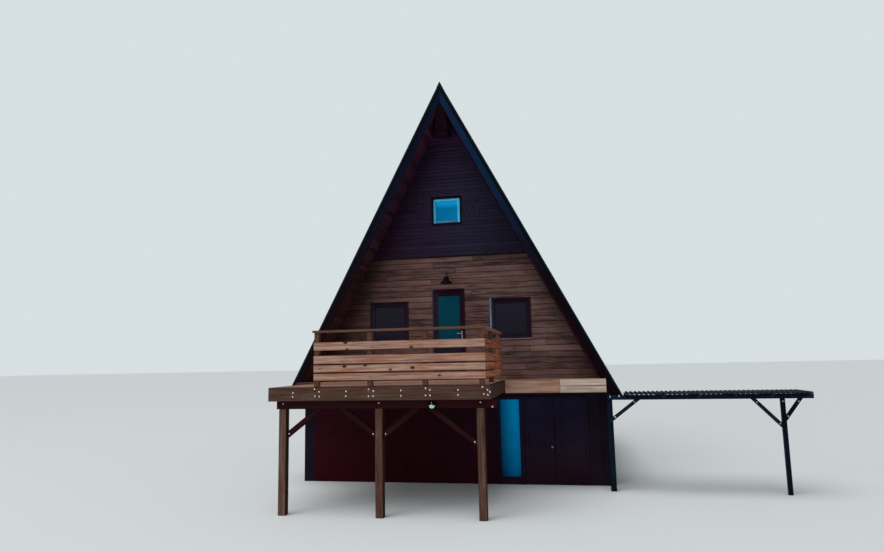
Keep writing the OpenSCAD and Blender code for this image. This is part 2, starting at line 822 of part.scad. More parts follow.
// Lamp over the terrace door: a wall plate, a bent arm and a turned shade
module wall_lamp() color([0.12, 0.10, 0.10]) {
    shade_y = front_y - lamp_out;
    rim_z = main_floor_z + terrace_door_h + shade_rise;
    arm_z = rim_z + arm_rise;
    cup_h = arm_rise - bend_r;
    cup_r = 3 * arm_r;
    // Wall plate
    translate([0, front_y, arm_z]) rotate([90, 0, 0])
        cylinder(r = wall_plate_r, h = wall_plate_t);
    // Level run from the plate to the bend
    translate([0, front_y, arm_z]) rotate([90, 0, 0])
        cylinder(r = arm_r, h = lamp_out - bend_r);
    // Quarter bend down to the shade
    intersection() {
        translate([0, shade_y + bend_r, arm_z - bend_r]) rotate([0, 90, 0])
            rotate_extrude() translate([bend_r, 0]) circle(r = arm_r);
        translate([-2 * arm_r, shade_y - 2 * arm_r, arm_z - bend_r])
            cube([4 * arm_r, bend_r + 2 * arm_r, bend_r + 2 * arm_r]);
    }
    // Turned shade with an open rim: a flared bell under a tall neck
    neck_r = 0.44 * shade_r;
    translate([0, shade_y, rim_z]) rotate_extrude() polygon([
        [shade_r, 0],
        [0.85 * shade_r, 0.16 * cup_h],
        [0.62 * shade_r, 0.33 * cup_h],
        [neck_r, 0.5 * cup_h],
        [0.94 * neck_r, 0.82 * cup_h],
        [0.62 * neck_r, 0.95 * cup_h],
        [cup_r, cup_h],
        [0, cup_h],
        [0, 0.88 * cup_h],
        [0.5 * neck_r, 0.87 * cup_h],
        [0.94 * neck_r - shade_t, 0.77 * cup_h],
        [neck_r - shade_t, 0.48 * cup_h],
        [0.62 * shade_r - shade_t, 0.29 * cup_h],
        [0.85 * shade_r - shade_t, 0.13 * cup_h],
        [shade_r - shade_t, 0]
    ]);
}

// Terrace
module deck_outline() {
    polygon([
        [-walkway_half, walkway_y0 + edge_t],
        [-balcony_left + edge_t, walkway_y0 + edge_t],
        [-balcony_left + edge_t, deck_y0 + edge_t],
        [balcony_right - edge_t, deck_y0 + edge_t],
        [balcony_right - edge_t, walkway_y0 + edge_t],
        [walkway_half, walkway_y0 + edge_t],
        [walkway_half, roof_y0 - verge_gap],
        [walkway_inner, roof_y0 - verge_gap],
        [walkway_inner, front_y],
        [-walkway_inner, front_y],
        [-walkway_inner, roof_y0 - verge_gap],
        [-walkway_half, roof_y0 - verge_gap]
    ]);
}

module deck_boards() color([0.62, 0.44, 0.30]) {
    translate([0, 0, main_floor_z - deck_t]) linear_extrude(height = deck_t) deck_outline();
}

// Edge boards round the balcony and in front of the walkway on both sides
module deck_edge() color([0.64, 0.42, 0.27]) {
    edge_z0 = main_floor_z - main_floor_t;
    walkway_z0 = main_floor_z - walkway_edge_h;
    bar(-balcony_left, balcony_right, deck_y0, deck_y0 + edge_t, edge_z0, main_floor_z);
    for (x = [-balcony_left, balcony_right - edge_t])
        bar(x, x + edge_t, deck_y0 + edge_t + board_joint, walkway_y0 - board_joint,
            edge_z0, main_floor_z);
    bar(balcony_right, walkway_half, walkway_y0, walkway_y0 + edge_t, walkway_z0, main_floor_z);
    bar(-walkway_half, -balcony_left, walkway_y0, walkway_y0 + edge_t, walkway_z0, main_floor_z);
}

// Joists of the balcony and of the walkways, and the ledger on the cabin's wall
module deck_joists() color([0.50, 0.33, 0.22]) {
    z0 = main_floor_z - main_floor_t;
    z1 = main_floor_z - deck_t;
    count = floor((balcony_left + balcony_right - 2 * edge_t - joist_w) / joist_pitch);
    walkway_count = floor((walkway_inner - joist_w - balcony_right) / joist_pitch);
    bar(-walkway_inner, walkway_inner, joist_y1, front_y, z0, z1);
    for (i = [0:count]) {
        x = balcony_right - edge_t - joist_w - i * joist_pitch;
        bar(x, x + joist_w, deck_y0 + edge_t, joist_y1 - board_joint, z0, z1);
    }
    walkway_xs = [for (i = [1:walkway_count]) balcony_right + i * joist_pitch];
    for (x = concat(walkway_xs, [walkway_inner - joist_w, -walkway_inner]))
        bar(x, x + joist_w, walkway_y0 + edge_t, joist_y1 - board_joint, z0, z1);
}

module deck_girder() color([0.36, 0.23, 0.17]) {
    bar(girder_x0, girder_x1, girder_y0, girder_y0 + girder_w, girder_z0, girder_top);
}

module deck_posts() color([0.66, 0.46, 0.31]) {
    for (x = deck_post_xs)
        bar(x - post_w / 2, x + post_w / 2, girder_y0, girder_y0 + post_w, 0, girder_z0);
}

// Knee brace in the plane of the gables: its foot is cut upright at x, its head level at z.
// It leans towards dir, and run and fall reach from the foot's middle to the head's middle.
module knee_brace(x, z, dir, run, fall, w, y0, t) {
    slant = atan(fall / run);
    foot = w / 2 / cos(slant);
    head = w / 2 / sin(slant);
    along_y(y0, y0 + t) polygon([
        [x, z - fall - foot],
        [x + dir * (run + head), z],
        [x + dir * (run - head), z],
        [x, z - fall + foot]
    ]);
}

module deck_braces() color([0.55, 0.36, 0.24]) {
    y0 = girder_y0 + (post_w - brace_t) / 2;
    half = post_w / 2;
    inner_fall = brace_fall * inner_brace_run / brace_run;
    knee_brace(deck_post_xs[0] - half, girder_z0, -1, brace_run - half, brace_fall,
        brace_w, y0, brace_t);
    for (end = [[deck_post_xs[1] + half, 1], [deck_post_xs[1] - half, -1],
            [deck_post_xs[2] + half, 1]])
        knee_brace(end[0], girder_z0, end[1], inner_brace_run - half, inner_fall,
            brace_w, y0, brace_t);
}

// Railing
module railing_posts() color([0.63, 0.43, 0.29]) {
    half = rail_post_w / 2;
    for (x = rail_post_xs)
        translate([x - half, rail_post_y - half, main_floor_z])
            cube([rail_post_w, rail_post_w, rail_post_h]);
    for (y = [side_mid_y, side_end_y])
        translate([corner_rail_x - half, y - half, main_floor_z])
            cube([rail_post_w, rail_post_w, rail_post_h]);
}

// Boards nailed outside the posts, in the same rows on the front and on the side
module railing_boards() color([0.66, 0.45, 0.30]) {
    rows = [
        [board_foot, lower_board_h],
        [board_3, lower_board_h],
        [board_2, upper_board_h],
        [board_1, upper_board_h]
    ];
    for (row = rows) {
        z0 = main_floor_z + row[0];
        bar(rail_end_x, railing_face_x, deck_y0, deck_y0 + rail_board_t, z0, z0 + row[1]);
        bar(railing_face_x - rail_board_t, railing_face_x,
            deck_y0 + rail_board_t + board_joint, side_end_y + rail_post_w / 2, z0, z0 + row[1]);
    }
}

// Flat top board that turns the corner with the railing
module railing_cap() color([0.62, 0.43, 0.29]) {
    cap_x0 = rail_end_x - cap_over;
    cap_x1 = railing_face_x + cap_over;
    cap_y0 = deck_y0 - cap_over;
    translate([0, 0, main_floor_z + rail_post_h]) linear_extrude(height = cap_t) polygon([
        [cap_x0, cap_y0],
        [cap_x1, cap_y0],
        [cap_x1, side_end_y + rail_post_w / 2],
        [cap_x1 - cap_w, side_end_y + rail_post_w / 2],
        [cap_x1 - cap_w, cap_y0 + cap_w],
        [cap_x0, cap_y0 + cap_w]
    ]);
}

// Round lamp on the front of the beam under the terrace
module round_lamp() color([0.85, 0.88, 0.90]) {
    ring_h = round_lamp_r / 3;
    lens_r = 0.78 * round_lamp_r;
    translate([round_lamp_x, girder_y0, girder_z0 + girder_h / 2 - round_lamp_drop]) rotate([90, 0, 0])
        rotate_extrude() polygon([
            [0, 0],
            [round_lamp_r, 0],
            [round_lamp_r, ring_h],
            [0.86 * round_lamp_r, 1.4 * ring_h],
            [lens_r, 1.4 * ring_h],
            [0.6 * lens_r, 2 * ring_h],
            [0, 2.3 * ring_h]
        ]);
}

// Canopy
// Post under the corner of the roof, cut to the underside of the slope and the eaves
module corner_post() color([0.10, 0.09, 0.10]) {
    x1 = corner_post_x + corner_post_w;
    along_y(beam_y1, beam_y1 + corner_post_w) intersection() {
        translate([corner_post_x, 0]) square([corner_post_w, main_floor_z]);
        polygon([
            [0, 0],
            [x1, 0],
            [x1, max(eave_z, roof_z(x1, under_t))],
            [roof_x(eave_z, under_t), eave_z],
            [0, roof_z(0, under_t)]
        ]);
    }
}

module canopy_beam() color([0.12, 0.08, 0.08]) difference() {
    bar(beam_x0, canopy_end, beam_y0, beam_y1, beam_z0, beam_z1);
    for (i = [0:bearer_count]) {
        x = canopy_x0 + i * bearer_step;
        bar(x, x + bearer_w, beam_y0 - past, beam_y1 + past, bearer_z0, beam_z1 + past);
    }
}

module canopy_bearers() color([0.14, 0.09, 0.09]) {
    for (i = [0:bearer_count]) {
        x = canopy_x0 + i * bearer_step;
        bar(x, x + bearer_w, canopy_y0, canopy_y0 + canopy_d, bearer_z0, sheet_z0);
    }
}

module canopy_post() color([0.12, 0.08, 0.08]) {
    half = canopy_post_w / 2;
    y = (beam_y0 + beam_y1) / 2;
    bar(canopy_post_x - half, canopy_post_x + half, y - half, y + half, 0, beam_z0);
}

module canopy_braces() color([0.14, 0.09, 0.09]) {
    half = canopy_post_w / 2;
    y0 = beam_y0 + (canopy_beam_t - canopy_brace_t) / 2;
    knee_brace(canopy_post_x - half, beam_z0, -1, canopy_brace_run, canopy_brace_fall,
        canopy_brace_w, y0, canopy_brace_t);
    knee_brace(canopy_post_x + half, beam_z0, 1, short_brace_run, short_brace_fall,
        canopy_brace_w, y0, canopy_brace_t);
    knee_brace(corner_post_x + corner_post_w / 2, beam_z0, 1, canopy_brace_run + corner_post_w / 2,
        corner_brace_fall, canopy_brace_w, y0, canopy_brace_t);
}

// Profiled sheet: a trapezoid rib at every pitch, drawn out from the front to the back
module canopy_roof() color([0.20, 0.24, 0.28]) {
    sheet_l = canopy_x1 + 2 * sheet_over - canopy_x0;
    ribs = round(sheet_l / rib_pitch);
    step = sheet_l / ribs;
    top = [for (i = [0:ribs - 1]) for (p = [[0, 0], [0.5, 0], [0.62, 1], [0.88, 1]])
        [(i + p[0]) * step, p[1] * rib_h + canopy_sheet_t]];
    bottom = [for (i = [0:ribs - 1]) for (p = [[0.12, 1], [0.38, 1], [0.5, 0], [1, 0]])
        [(ribs - i - p[0]) * step, p[1] * rib_h]];
    translate([canopy_x0 - sheet_over, 0, sheet_z0])
        along_y(canopy_y0 - sheet_over, canopy_y0 + canopy_d + sheet_over)
            polygon(concat(top, [[sheet_l, canopy_sheet_t], [sheet_l, 0]], bottom));
}

basement_side_walls();
basement_back_wall();
basement_front_wall();
basement_lintel();
basement_floor();
entrance_frame();
sidelight_glass();
door_leaf_left();
door_leaf_right();
door_knob();
floors();
front_wall_left();
front_wall_right();
front_wall_head();
front_gable_wall();
back_wall();
back_gable_wall();
roof_left();
roof_right();
roof_covers();
ridge_cap();
ridge_beam();
bargeboards();
window_frames();
window_glass();
window_sills();
terrace_door_frame();
terrace_door_leaf();
gable_shutters();
wall_lamp();
deck_boards();
deck_edge();
deck_joists();
deck_girder();
deck_posts();
deck_braces();
railing_posts();
railing_boards();
railing_cap();
round_lamp();
corner_post();
canopy_beam();
canopy_bearers();
canopy_post();
canopy_braces();
canopy_roof();
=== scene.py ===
"""Finishes, fittings, light and camera for a steep a-frame cabin on a dark basement storey.

Laid out as an add-on: one panel in the 3D view's sidebar lists the operators, and each of them
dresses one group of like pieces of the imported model. Metres, +Z up, the front towards -Y.
"""
import functools
import itertools
import math
import random

import bmesh
import bpy
from bpy.props import FloatProperty, FloatVectorProperty, PointerProperty
from mathutils import Matrix, Vector


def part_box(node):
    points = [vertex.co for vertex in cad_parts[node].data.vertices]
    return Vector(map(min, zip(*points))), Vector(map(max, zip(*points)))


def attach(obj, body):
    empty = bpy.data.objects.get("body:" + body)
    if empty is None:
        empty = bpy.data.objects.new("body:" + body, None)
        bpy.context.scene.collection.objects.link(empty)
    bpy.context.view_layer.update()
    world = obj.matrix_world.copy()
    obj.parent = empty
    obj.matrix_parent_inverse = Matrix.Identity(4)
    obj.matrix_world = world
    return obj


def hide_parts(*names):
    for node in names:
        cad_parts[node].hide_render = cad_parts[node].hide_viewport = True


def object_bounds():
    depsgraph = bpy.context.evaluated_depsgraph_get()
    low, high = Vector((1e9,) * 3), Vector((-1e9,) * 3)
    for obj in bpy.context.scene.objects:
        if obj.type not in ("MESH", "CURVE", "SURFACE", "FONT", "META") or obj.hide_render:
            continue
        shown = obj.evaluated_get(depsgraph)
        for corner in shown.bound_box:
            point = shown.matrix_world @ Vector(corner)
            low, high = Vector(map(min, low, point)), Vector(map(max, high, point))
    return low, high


bl_info = {
    "name": "A-frame cabin finishes",
    "version": (1, 0, 0),
    "blender": (4, 5, 0),
    "location": "View3D > Sidebar > Cabin",
    "description": "Boards, finishes, fittings, light and camera for an a-frame cabin",
    "category": "Object",
}

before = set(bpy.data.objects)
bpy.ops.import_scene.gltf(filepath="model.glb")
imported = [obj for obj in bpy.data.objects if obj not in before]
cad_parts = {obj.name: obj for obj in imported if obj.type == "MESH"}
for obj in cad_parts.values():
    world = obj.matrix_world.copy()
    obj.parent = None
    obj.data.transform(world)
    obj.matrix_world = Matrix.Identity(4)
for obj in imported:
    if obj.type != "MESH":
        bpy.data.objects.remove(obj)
cad_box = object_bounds()

# Places taken from the frame
FRONT_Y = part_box("front_wall_left")[0].y
BACK_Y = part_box("back_wall")[1].y
FLOOR_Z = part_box("deck_boards")[1].z
ATTIC_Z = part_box("front_gable_wall")[0].z
GABLE_TOP_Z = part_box("front_gable_wall")[1].z
EAVE_X, EAVE_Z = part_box("roof_right")[1].x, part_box("roof_right")[0].z
VERGE_Y, VERGE_BACK_Y = (corner.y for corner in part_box("bargeboards"))
RIDGE_BEAM_LO, RIDGE_BEAM_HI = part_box("ridge_beam")

# The slope's rise and pitch, from the sheet that covers it and stops just short of the middle
COVER_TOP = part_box("roof_covers")[1]
COVER_JOINT = 0.002
SLOPE = (COVER_TOP.z - EAVE_Z) / (COVER_TOP.x - COVER_JOINT)
PITCH = math.atan(SLOPE)
INNER_ATTIC_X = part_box("front_gable_wall")[1].x
UP_SLOPE = Vector((-math.cos(PITCH), 0, math.sin(PITCH)))
INTO_ROOM = Vector((-math.sin(PITCH), 0, -math.cos(PITCH)))

# Axes, directions, and the axis and sign of a board's face
X, Y, Z = range(3)
FRONT, RIGHT, LEFT, UP = (0, -1, 0), (1, 0, 0), (-1, 0, 0), (0, 0, 1)
TO_FRONT, TO_BACK, TO_TOP, TO_LEFT, TO_RIGHT = (Y, -1), (Y, 1), (Z, 1), (X, -1), (X, 1)

# Outer face of each end wall, and the way that it looks
FRONT_END, BACK_END = (FRONT_Y, -1), (BACK_Y, 1)

# Hinges of the basement doors: knuckle radius, height of one half, and the heights they start at
KNUCKLE_R, HINGE_H = 0.008, 0.055
HINGE_ZS = (0.26, 1.53)
LEAF_GAP = 0.005

# Air between faces that would else share a plane, gap at the end of a board, and the hairline
# between members that touch
CLEAR, JOINT, HAIRLINE = 0.0005, 0.003, 0.0003


def inner_x(z):
    """Half width between the undersides of the two roof slopes at height z."""
    return INNER_ATTIC_X + (ATTIC_Z - z) / SLOPE


def linear(colour):
    """Linear RGBA of an sRGB hex colour such as #7A5C48. A colour that is linear stays so."""
    if not isinstance(colour, str):
        return colour
    parts = [int(colour[i:i + 2], 16) / 255 for i in (1, 3, 5)]
    return tuple(p / 12.92 if p <= 0.04045 else ((p + 0.055) / 1.055) ** 2.4 for p in parts) + (1,)


def shade(colour, factor):
    """The same colour, lighter or darker."""
    return tuple(min(1.0, c * factor) for c in linear(colour)[:3]) + (1.0,)


def hue(name, description, hex_colour):
    """A colour that a user may change."""
    return FloatVectorProperty(name=name, description=description, subtype="COLOR", size=4,
                               min=0, max=1, default=linear(hex_colour))


def length(name, description, metres):
    """A size that a user may change."""
    return FloatProperty(name=name, description=description, default=metres, unit="LENGTH",
                         min=0.001, precision=4)


class CabinSizes(bpy.types.PropertyGroup):
    """Sizes of what is nailed, bolted or laid on the cabin's frame"""
    siding_pitch: length("Siding pitch", "Height of one row of the main storey's boards", 0.133)
    gable_pitch: length("Gable pitch", "Height of one row of the gable's boards", 0.088)
    siding_t: length("Siding thickness", "Thickness of the boards on the end walls", 0.018)
    row_gap: length("Row gap", "Open groove between two rows of boards", 0.006)
    soffit_pitch: length("Soffit pitch", "Width of one board under the roof's overhang", 0.096)
    soffit_t: length("Soffit thickness", "Thickness of the boards under the overhang", 0.010)
    deck_board_w: length("Terrace board width", "Width of one board of the terrace", 0.140)
    deck_gap: length("Terrace board gap", "Gap between two terrace boards", 0.006)
    bolt_r: length("Bolt head radius", "Radius of a carriage bolt's domed head", 0.0095)
    washer_r: length("Washer radius", "Radius of the washer under a bolt's head", 0.0155)
    screw_r: length("Screw head radius", "Radius of a countersunk screw's head", 0.005)
    casing_w: length("Casing width", "Width of a window's outer casing", 0.045)
    sash_w: length("Sash width", "Width of a window's sash members", 0.055)
    bead_w: length("Glazing bead width", "Width of the beads round the glass", 0.012)
    head_rise: length("Gable head rise", "Height of the board over a gable window", 0.018)
    verge_w: length("Verge sheet width", "Width of the folded sheet on a bargeboard", 0.055)


class CabinColours(bpy.types.PropertyGroup):
    """Colours of the cabin's finishes"""
    siding_dark: hue("Siding, dark", "Late wood and damp parts of the siding", "#342423")
    siding_light: hue("Siding, light", "Sun-bleached parts of the siding", "#805F5B")
    stain: hue("Gable stain", "Dark stain on the gable's boards", "#242134")
    soffit: hue("Soffit stain", "Red-brown stain under the overhang", "#3E2335")
    barge: hue("Bargeboard paint", "Blue-black paint on the bargeboards", "#06223E")
    barge_low: hue("Bargeboard, shaded", "The same paint on the shaded side", "#09091D")
    barge_foot: hue("Bargeboard, foot", "The same paint towards the eaves", "#130309")
    verge: hue("Verge sheet", "Coated sheet over the bargeboards", "#050B14")
    terrace_dark: hue("Terrace timber, dark", "Late wood of the terrace timber", "#6B4A3C")
    terrace_light: hue("Terrace timber, light", "Early wood of the terrace timber", "#B89482")
    render: hue("Basement render", "Near-black coat on the side and back walls", "#1B1722")
    render_front: hue("Front render, right", "The coat beside the doors", "#211926")
    render_shade_left: hue("Front render, left", "The coat in the terrace's damp shade", "#2A0E16")
    doors: hue("Door paint", "Near-black paint of the basement doors", "#201C34")
    doors_lit: hue("Door paint, worn", "The same paint where it is worn", "#25223B")
    doors_foot: hue("Door paint, foot", "The same paint near the ground", "#25121E")
    joinery: hue("Joinery paint", "Dark paint on frames and sashes", "#200A1A")
    joinery_lit: hue("Joinery paint, lit", "The same paint on jambs that face the sky", "#62728C")
    gable_glass: hue("Gable glass", "Top of the gable window's glass", "#15BAFE")
    gable_glass_low: hue("Gable glass, low", "Foot of the gable window's glass", "#0370A5")
    storey_glass: hue("Storey glass", "Glass of the main storey's windows", "#25222E")
    door_glass: hue("Door glass", "Glass of the terrace door", "#0B4152")
    side_glass: hue("Sidelight glass", "Top of the glass beside the basement doors", "#08BDFF")
    side_glass_low: hue("Sidelight glass, low", "Foot of the same glass", "#015A90")


def sizes():
    """The sizes in use."""
    return bpy.context.scene.cabin_sizes


def tint(name):
    """One of the colours in use, as a plain tuple."""
    return tuple(getattr(bpy.context.scene.cabin_colours, name))


def add(tree, kind, inputs=None, **settings):
    """Adds a shader node with its settings, and with a value, a colour or a link on each input
    named."""
    node = tree.nodes.new("ShaderNode" + kind)
    for key, value in settings.items():
        setattr(node, key, value)
    for key, value in (inputs or {}).items():
        if isinstance(value, bpy.types.NodeSocket):
            tree.links.new(value, node.inputs[key])
        else:
            node.inputs[key].default_value = linear(value)
    return node


def finish(looks):
    """Turns a function that gives a shader's sockets into one that makes the material under a
    name, or finds the one that has it already."""
    @functools.wraps(looks)
    def material(name, *values, **settings):
        if name in bpy.data.materials:
            return bpy.data.materials[name]
        made = bpy.data.materials.new(name)
        made.use_nodes = True
        tree = made.node_tree
        tree.nodes.clear()
        place = add(tree, "TexCoord").outputs["Object"]
        shader = add(tree, "BsdfPrincipled", looks(tree, place, *values, **settings))
        add(tree, "OutputMaterial", {"Surface": shader.outputs[0]})
        return made
    return material


def attribute(tree, name, output="Fac"):
    """What the boards' mesh stores under a name: grain, a place in metres with the length first
    and a shift of its own for each board; across, from -1 to 1 over the width; tone, 0 to 1."""
    return add(tree, "Attribute", attribute_name=name).outputs[output]


def part(tree, vector, axis):
    """One of a vector's or colour's three parts."""
    return add(tree, "SeparateXYZ", {0: vector}).outputs[axis]


def maths(tree, operation, *values, **settings):
    """The result of one operation on values and sockets."""
    return add(tree, "Math", dict(enumerate(values)), operation=operation, **settings).outputs[0]


def ramp(tree, value, start=0.0, end=1.0, low=0.0, high=1.0, **settings):
    """Goes from low to high while the value goes from start to end, and stays there past them."""
    return add(tree, "MapRange", {"Value": value, "From Min": start, "From Max": end, "To Min": low,
                                  "To Max": high}, **settings).outputs[0]


def soft(tree, value, start, end, low, high):
    """The same with an eased start and end."""
    return ramp(tree, value, start, end, low, high, interpolation_type="SMOOTHSTEP")


def rise(tree, place, start, end, axis=Z):
    """How far a point has come from one place to the other along an axis, from 0 to 1."""
    return ramp(tree, part(tree, place, axis), start, end)


def mix(tree, factor, first, second, blend="MIX"):
    """Two colours blended."""
    return add(tree, "Mix", {0: factor, 6: first, 7: second}, data_type="RGBA",
               blend_type=blend).outputs[2]


def scaled(tree, body, factor):
    """A colour made lighter or darker from place to place."""
    return add(tree, "VectorMath", {0: body, 3: factor}, operation="SCALE").outputs[0]


def stretched(tree, place, waves, shift=(0, 0, 0)):
    """A place with so many units to the metre along each axis."""
    return add(tree, "Mapping", {"Vector": place, "Scale": waves, "Location": shift}).outputs[0]


def noise(tree, place, waves, detail, **more):
    """Cloudy noise from 0 to 1 with so many waves to the metre."""
    return add(tree, "TexNoise", {"Vector": place, "Scale": waves, "Detail": detail,
                                  **more}).outputs["Fac"]


def streaks(tree, place, waves, detail, shift=(0, 0, 0), **more):
    """The same noise with its own number of waves along each axis."""
    return noise(tree, stretched(tree, place, waves, shift), 1.0, detail, **more)


def strip_tone(tree, place, axis, width):
    """A random tone for every strip of that width along an axis."""
    strip = maths(tree, "SNAP", part(tree, place, axis), width)
    return add(tree, "TexWhiteNoise", {"W": strip}, noise_dimensions="1D").outputs["Value"]


def relief(tree, height, strength, distance):
    """Normals of a surface with that height map."""
    return add(tree, "Bump", {"Height": height, "Strength": strength,
                              "Distance": distance}).outputs[0]


NO_TINT = (1.0, 1.0, 1.0)


def tinted(tree, place, body, tints):
    """The colour multiplied by tints that change from place to place, each given as its axis,
    where it starts and ends, and its RGB there."""
    for axis, start, end, first, last in tints:
        local = mix(tree, rise(tree, place, start, end, axis), first + (1.0,), last + (1.0,))
        body = mix(tree, 1.0, body, local, "MULTIPLY")
    return body


def painted_eaves_shade(tree, place, body, reach, darkest):
    """The colour darkened towards both roof slopes: painted shade of the roof's overhang."""
    aside = maths(tree, "ABSOLUTE", part(tree, place, X))
    level = maths(tree, "MULTIPLY_ADD", part(tree, place, Z), 1 / SLOPE, aside)
    at_slope = INNER_ATTIC_X + ATTIC_Z / SLOPE
    return scaled(tree, body, ramp(tree, level, at_slope - reach, at_slope, 1.0, darkest))


@finish
def sawn_wood(tree, place, dark, light, knot, edge, roughness, knots=1.0, weather=0.0, streak=0.5,
              sheen=0.12, tints=(), eaves_shade=None, knot_size=1.0, knot_share=0.4, ruddy=None):
    """Sawn softwood. Long soft streaks, scattered knots, darker edges where dirt sits in the
    joints, and every board a little lighter or darker than the next. Sheen is low, because dry
    fibres scatter nearly all light."""
    grain = attribute(tree, "grain", "Vector")
    # Growth rings cut lengthwise: bands some 20 mm apart over the width and a metre long
    rings = streaks(tree, grain, (1.1, 42.0, 42.0), 5.0, Roughness=0.62, Distortion=0.6)
    # Saw marks and fibres of about 1.5 mm, drawn as coarse as 3 mm so that they show
    fibres = streaks(tree, grain, (14.0, 330.0, 330.0), 3.0)
    # Patches a third of a metre long, from uneven weathering
    patches = streaks(tree, grain, (2.6, 7.0, 7.0), 4.0, Roughness=0.7)
    # Knots 20 mm wide and half as long again, or larger by knot_size. Each 0.2 m of a board has a
    # cell that may hold one, and knot_share of the cells do.
    cells = add(tree, "TexVoronoi", {"Vector": stretched(tree, grain, (4.6, 7.5, 0.0)),
                                     "Scale": 1.0, "Randomness": 0.9})
    drawn = maths(tree, "LESS_THAN", part(tree, cells.outputs["Color"], X), knot_share)
    spot = soft(tree, cells.outputs["Distance"], 0.05 * knot_size, 0.12 * knot_size, knots, 0.0)
    # Lightness of a point: the board's tone, moved by rings and patches
    moved = maths(tree, "ADD", ramp(tree, rings, 0.3, 0.7, -streak, streak),
                  ramp(tree, patches, 0.3, 0.7, -0.22, 0.22))
    lightness = maths(tree, "ADD", moved, attribute(tree, "tone"), use_clamp=True)
    body = mix(tree, lightness, dark, light)
    if weather:
        # Silvery grey where sun and rain have bleached the surface
        bleach = streaks(tree, grain, (1.7, 16.0, 16.0), 5.0, (9.0, 3.0, 5.0))
        body = mix(tree, soft(tree, bleach, 0.48, 0.72, 0.0, weather), body, "#7F736C")
    if ruddy:
        # Red-brown streaks most of a metre long, where resin comes to the surface
        resin = streaks(tree, grain, (1.3, 28.0, 28.0), 4.0, (2.0, 7.0, 1.0))
        body = mix(tree, soft(tree, resin, 0.46, 0.66, 0.0, 0.75), body, ruddy)
    body = mix(tree, maths(tree, "MULTIPLY", spot, drawn), body, knot)
    rim = maths(tree, "ABSOLUTE", attribute(tree, "across"))
    body = mix(tree, soft(tree, rim, 0.84, 1.0, 0.0, 0.75), body, edge)
    # Painted light and shade: tints that change from place to place, and painted shade near the roof
    # slopes
    body = tinted(tree, place, body, tints)
    if eaves_shade:
        body = painted_eaves_shade(tree, place, body, *eaves_shade)
    height = maths(tree, "MULTIPLY_ADD", rings, 0.6, fibres)
    return {"Base Color": body, "Specular IOR Level": sheen,
            "Roughness": ramp(tree, rings, 0.2, 0.8, roughness - 0.08, roughness + 0.1),
            "Normal": relief(tree, height, 0.35, 0.002)}


def weathered_siding():
    """Planed larch boards left to weather: brown with grey bleaching and dark joints. Painted shade
    darkens them towards both slopes, towards the left and towards the top, and painted light
    makes them lighter near the right-hand slope.
    """
    return sawn_wood("weathered larch, planed", tint("siding_dark"), tint("siding_light"), "#1E110F",
                     "#170D0C", 0.72, knots=0.9, weather=0.3, streak=0.34, sheen=0.05,
                     eaves_shade=(0.5, 0.6),
                     tints=((X, -1.9, -0.5, (0.50, 0.46, 0.47), NO_TINT),
                            (Z, 4.3, 5.1, NO_TINT, (0.88, 0.86, 0.86)),
                            (X, 1.5, 1.9, NO_TINT, (1.16, 1.2, 1.2))))


def silvered_larch():
    """Larch of the window sills, silvered by rain, with soft streaks."""
    return sawn_wood("larch, silvered", "#6A595B", "#A9989A", "#3B2E2E", "#4A3D40", 0.7, knots=0.3,
                     streak=0.25)


def stained_boards():
    """Narrow spruce boards under a dark opaque stain: nearly even, and the grain only just shows.
    Painted shade makes them redder towards the left, darker towards the right and redder under
    the ridge, and painted light makes them lighter at the very top, in the ridge's deep shade."""
    stain = tint("stain")
    return sawn_wood("spruce, dark stained", shade(stain, 0.75), shade(stain, 1.5),
                     shade(stain, 0.6), shade(stain, 0.3), 0.55, knots=0.3, streak=0.2, sheen=0.03,
                     tints=((X, -1.3, 0.3, (1.12, 0.46, 0.64), NO_TINT),
                            (X, 0.4, 1.2, NO_TINT, (0.75, 0.75, 0.78)),
                            (Z, 7.0, 8.0, NO_TINT, (1.1, 0.6, 0.8)),
                            (Z, 7.75, 8.15, NO_TINT, (1.9, 1.8, 1.8))))


def soffit_boards():
    """Spruce boards under a red-brown stain, under the roof. Painted light makes them lighter and
    browner low down and lighter near the ridge; painted shade makes them darker and bluer on the
    right-hand slope."""
    stain = tint("soffit")
    return sawn_wood("spruce, red-brown stained", shade(stain, 0.7), shade(stain, 1.5),
                     shade(stain, 0.5), shade(stain, 0.35), 0.6, knots=0.3, streak=0.25, sheen=0.03,
                     tints=((X, -0.3, 0.3, NO_TINT, (0.45, 0.4, 0.75)),
                            (Z, 3.2, 6.5, (1.8, 2.3, 1.1), NO_TINT),
                            (Z, 7.2, 8.2, NO_TINT, (1.7, 1.3, 1.3))))


def beam_timber():
    """Red-brown stained beam, near black at its ends. Along its sides and underside, which stand in
    deep shade, the colour is many times lighter: painted light.
    """
    return sawn_wood("spruce beam, red-brown stained", "#090205", "#18060C", "#080204", "#070203", 0.6,
                     knots=0.3, streak=0.25, sheen=0.015,
                     tints=((Y, VERGE_Y + 0.03, VERGE_Y + 0.05, NO_TINT, (9.0, 12.0, 13.0)),
                            (Y, VERGE_BACK_Y - 0.05, VERGE_BACK_Y - 0.03, NO_TINT,
                             (0.11, 0.08, 0.08))))


def terrace_timber():
    """Sawn spruce of the terrace, a few years old: orange-brown with clear grain and dark knots."""
    return sawn_wood("spruce, sawn and oiled", tint("terrace_dark"), tint("terrace_light"), "#3C1C13",
                     "#4A2C22", 0.66, weather=0.35, streak=0.55, knot_size=2.3, knot_share=0.75,
                     ruddy="#96583F")


def warm_lit_timber():
    """The same spruce on the railing's side boards, vivid orange-brown: warm sunlight from the right
    painted into the colour.
    """
    return sawn_wood("spruce, freshly oiled", "#7E4029", "#CB815F", "#43190E", "#4A2416", 0.6,
                     streak=0.6, knot_size=2.3, knot_share=0.75, ruddy="#7E3A24")


def new_timber():
    """Raw spruce boards put in later: pale and silvery, with thin dark grain lines."""
    return sawn_wood("spruce, sawn and raw", "#846F62", "#D6C3B4", "#43312A", "#66564D", 0.7,
                     weather=0.25, streak=0.6, knot_size=1.5, ruddy="#A88975")


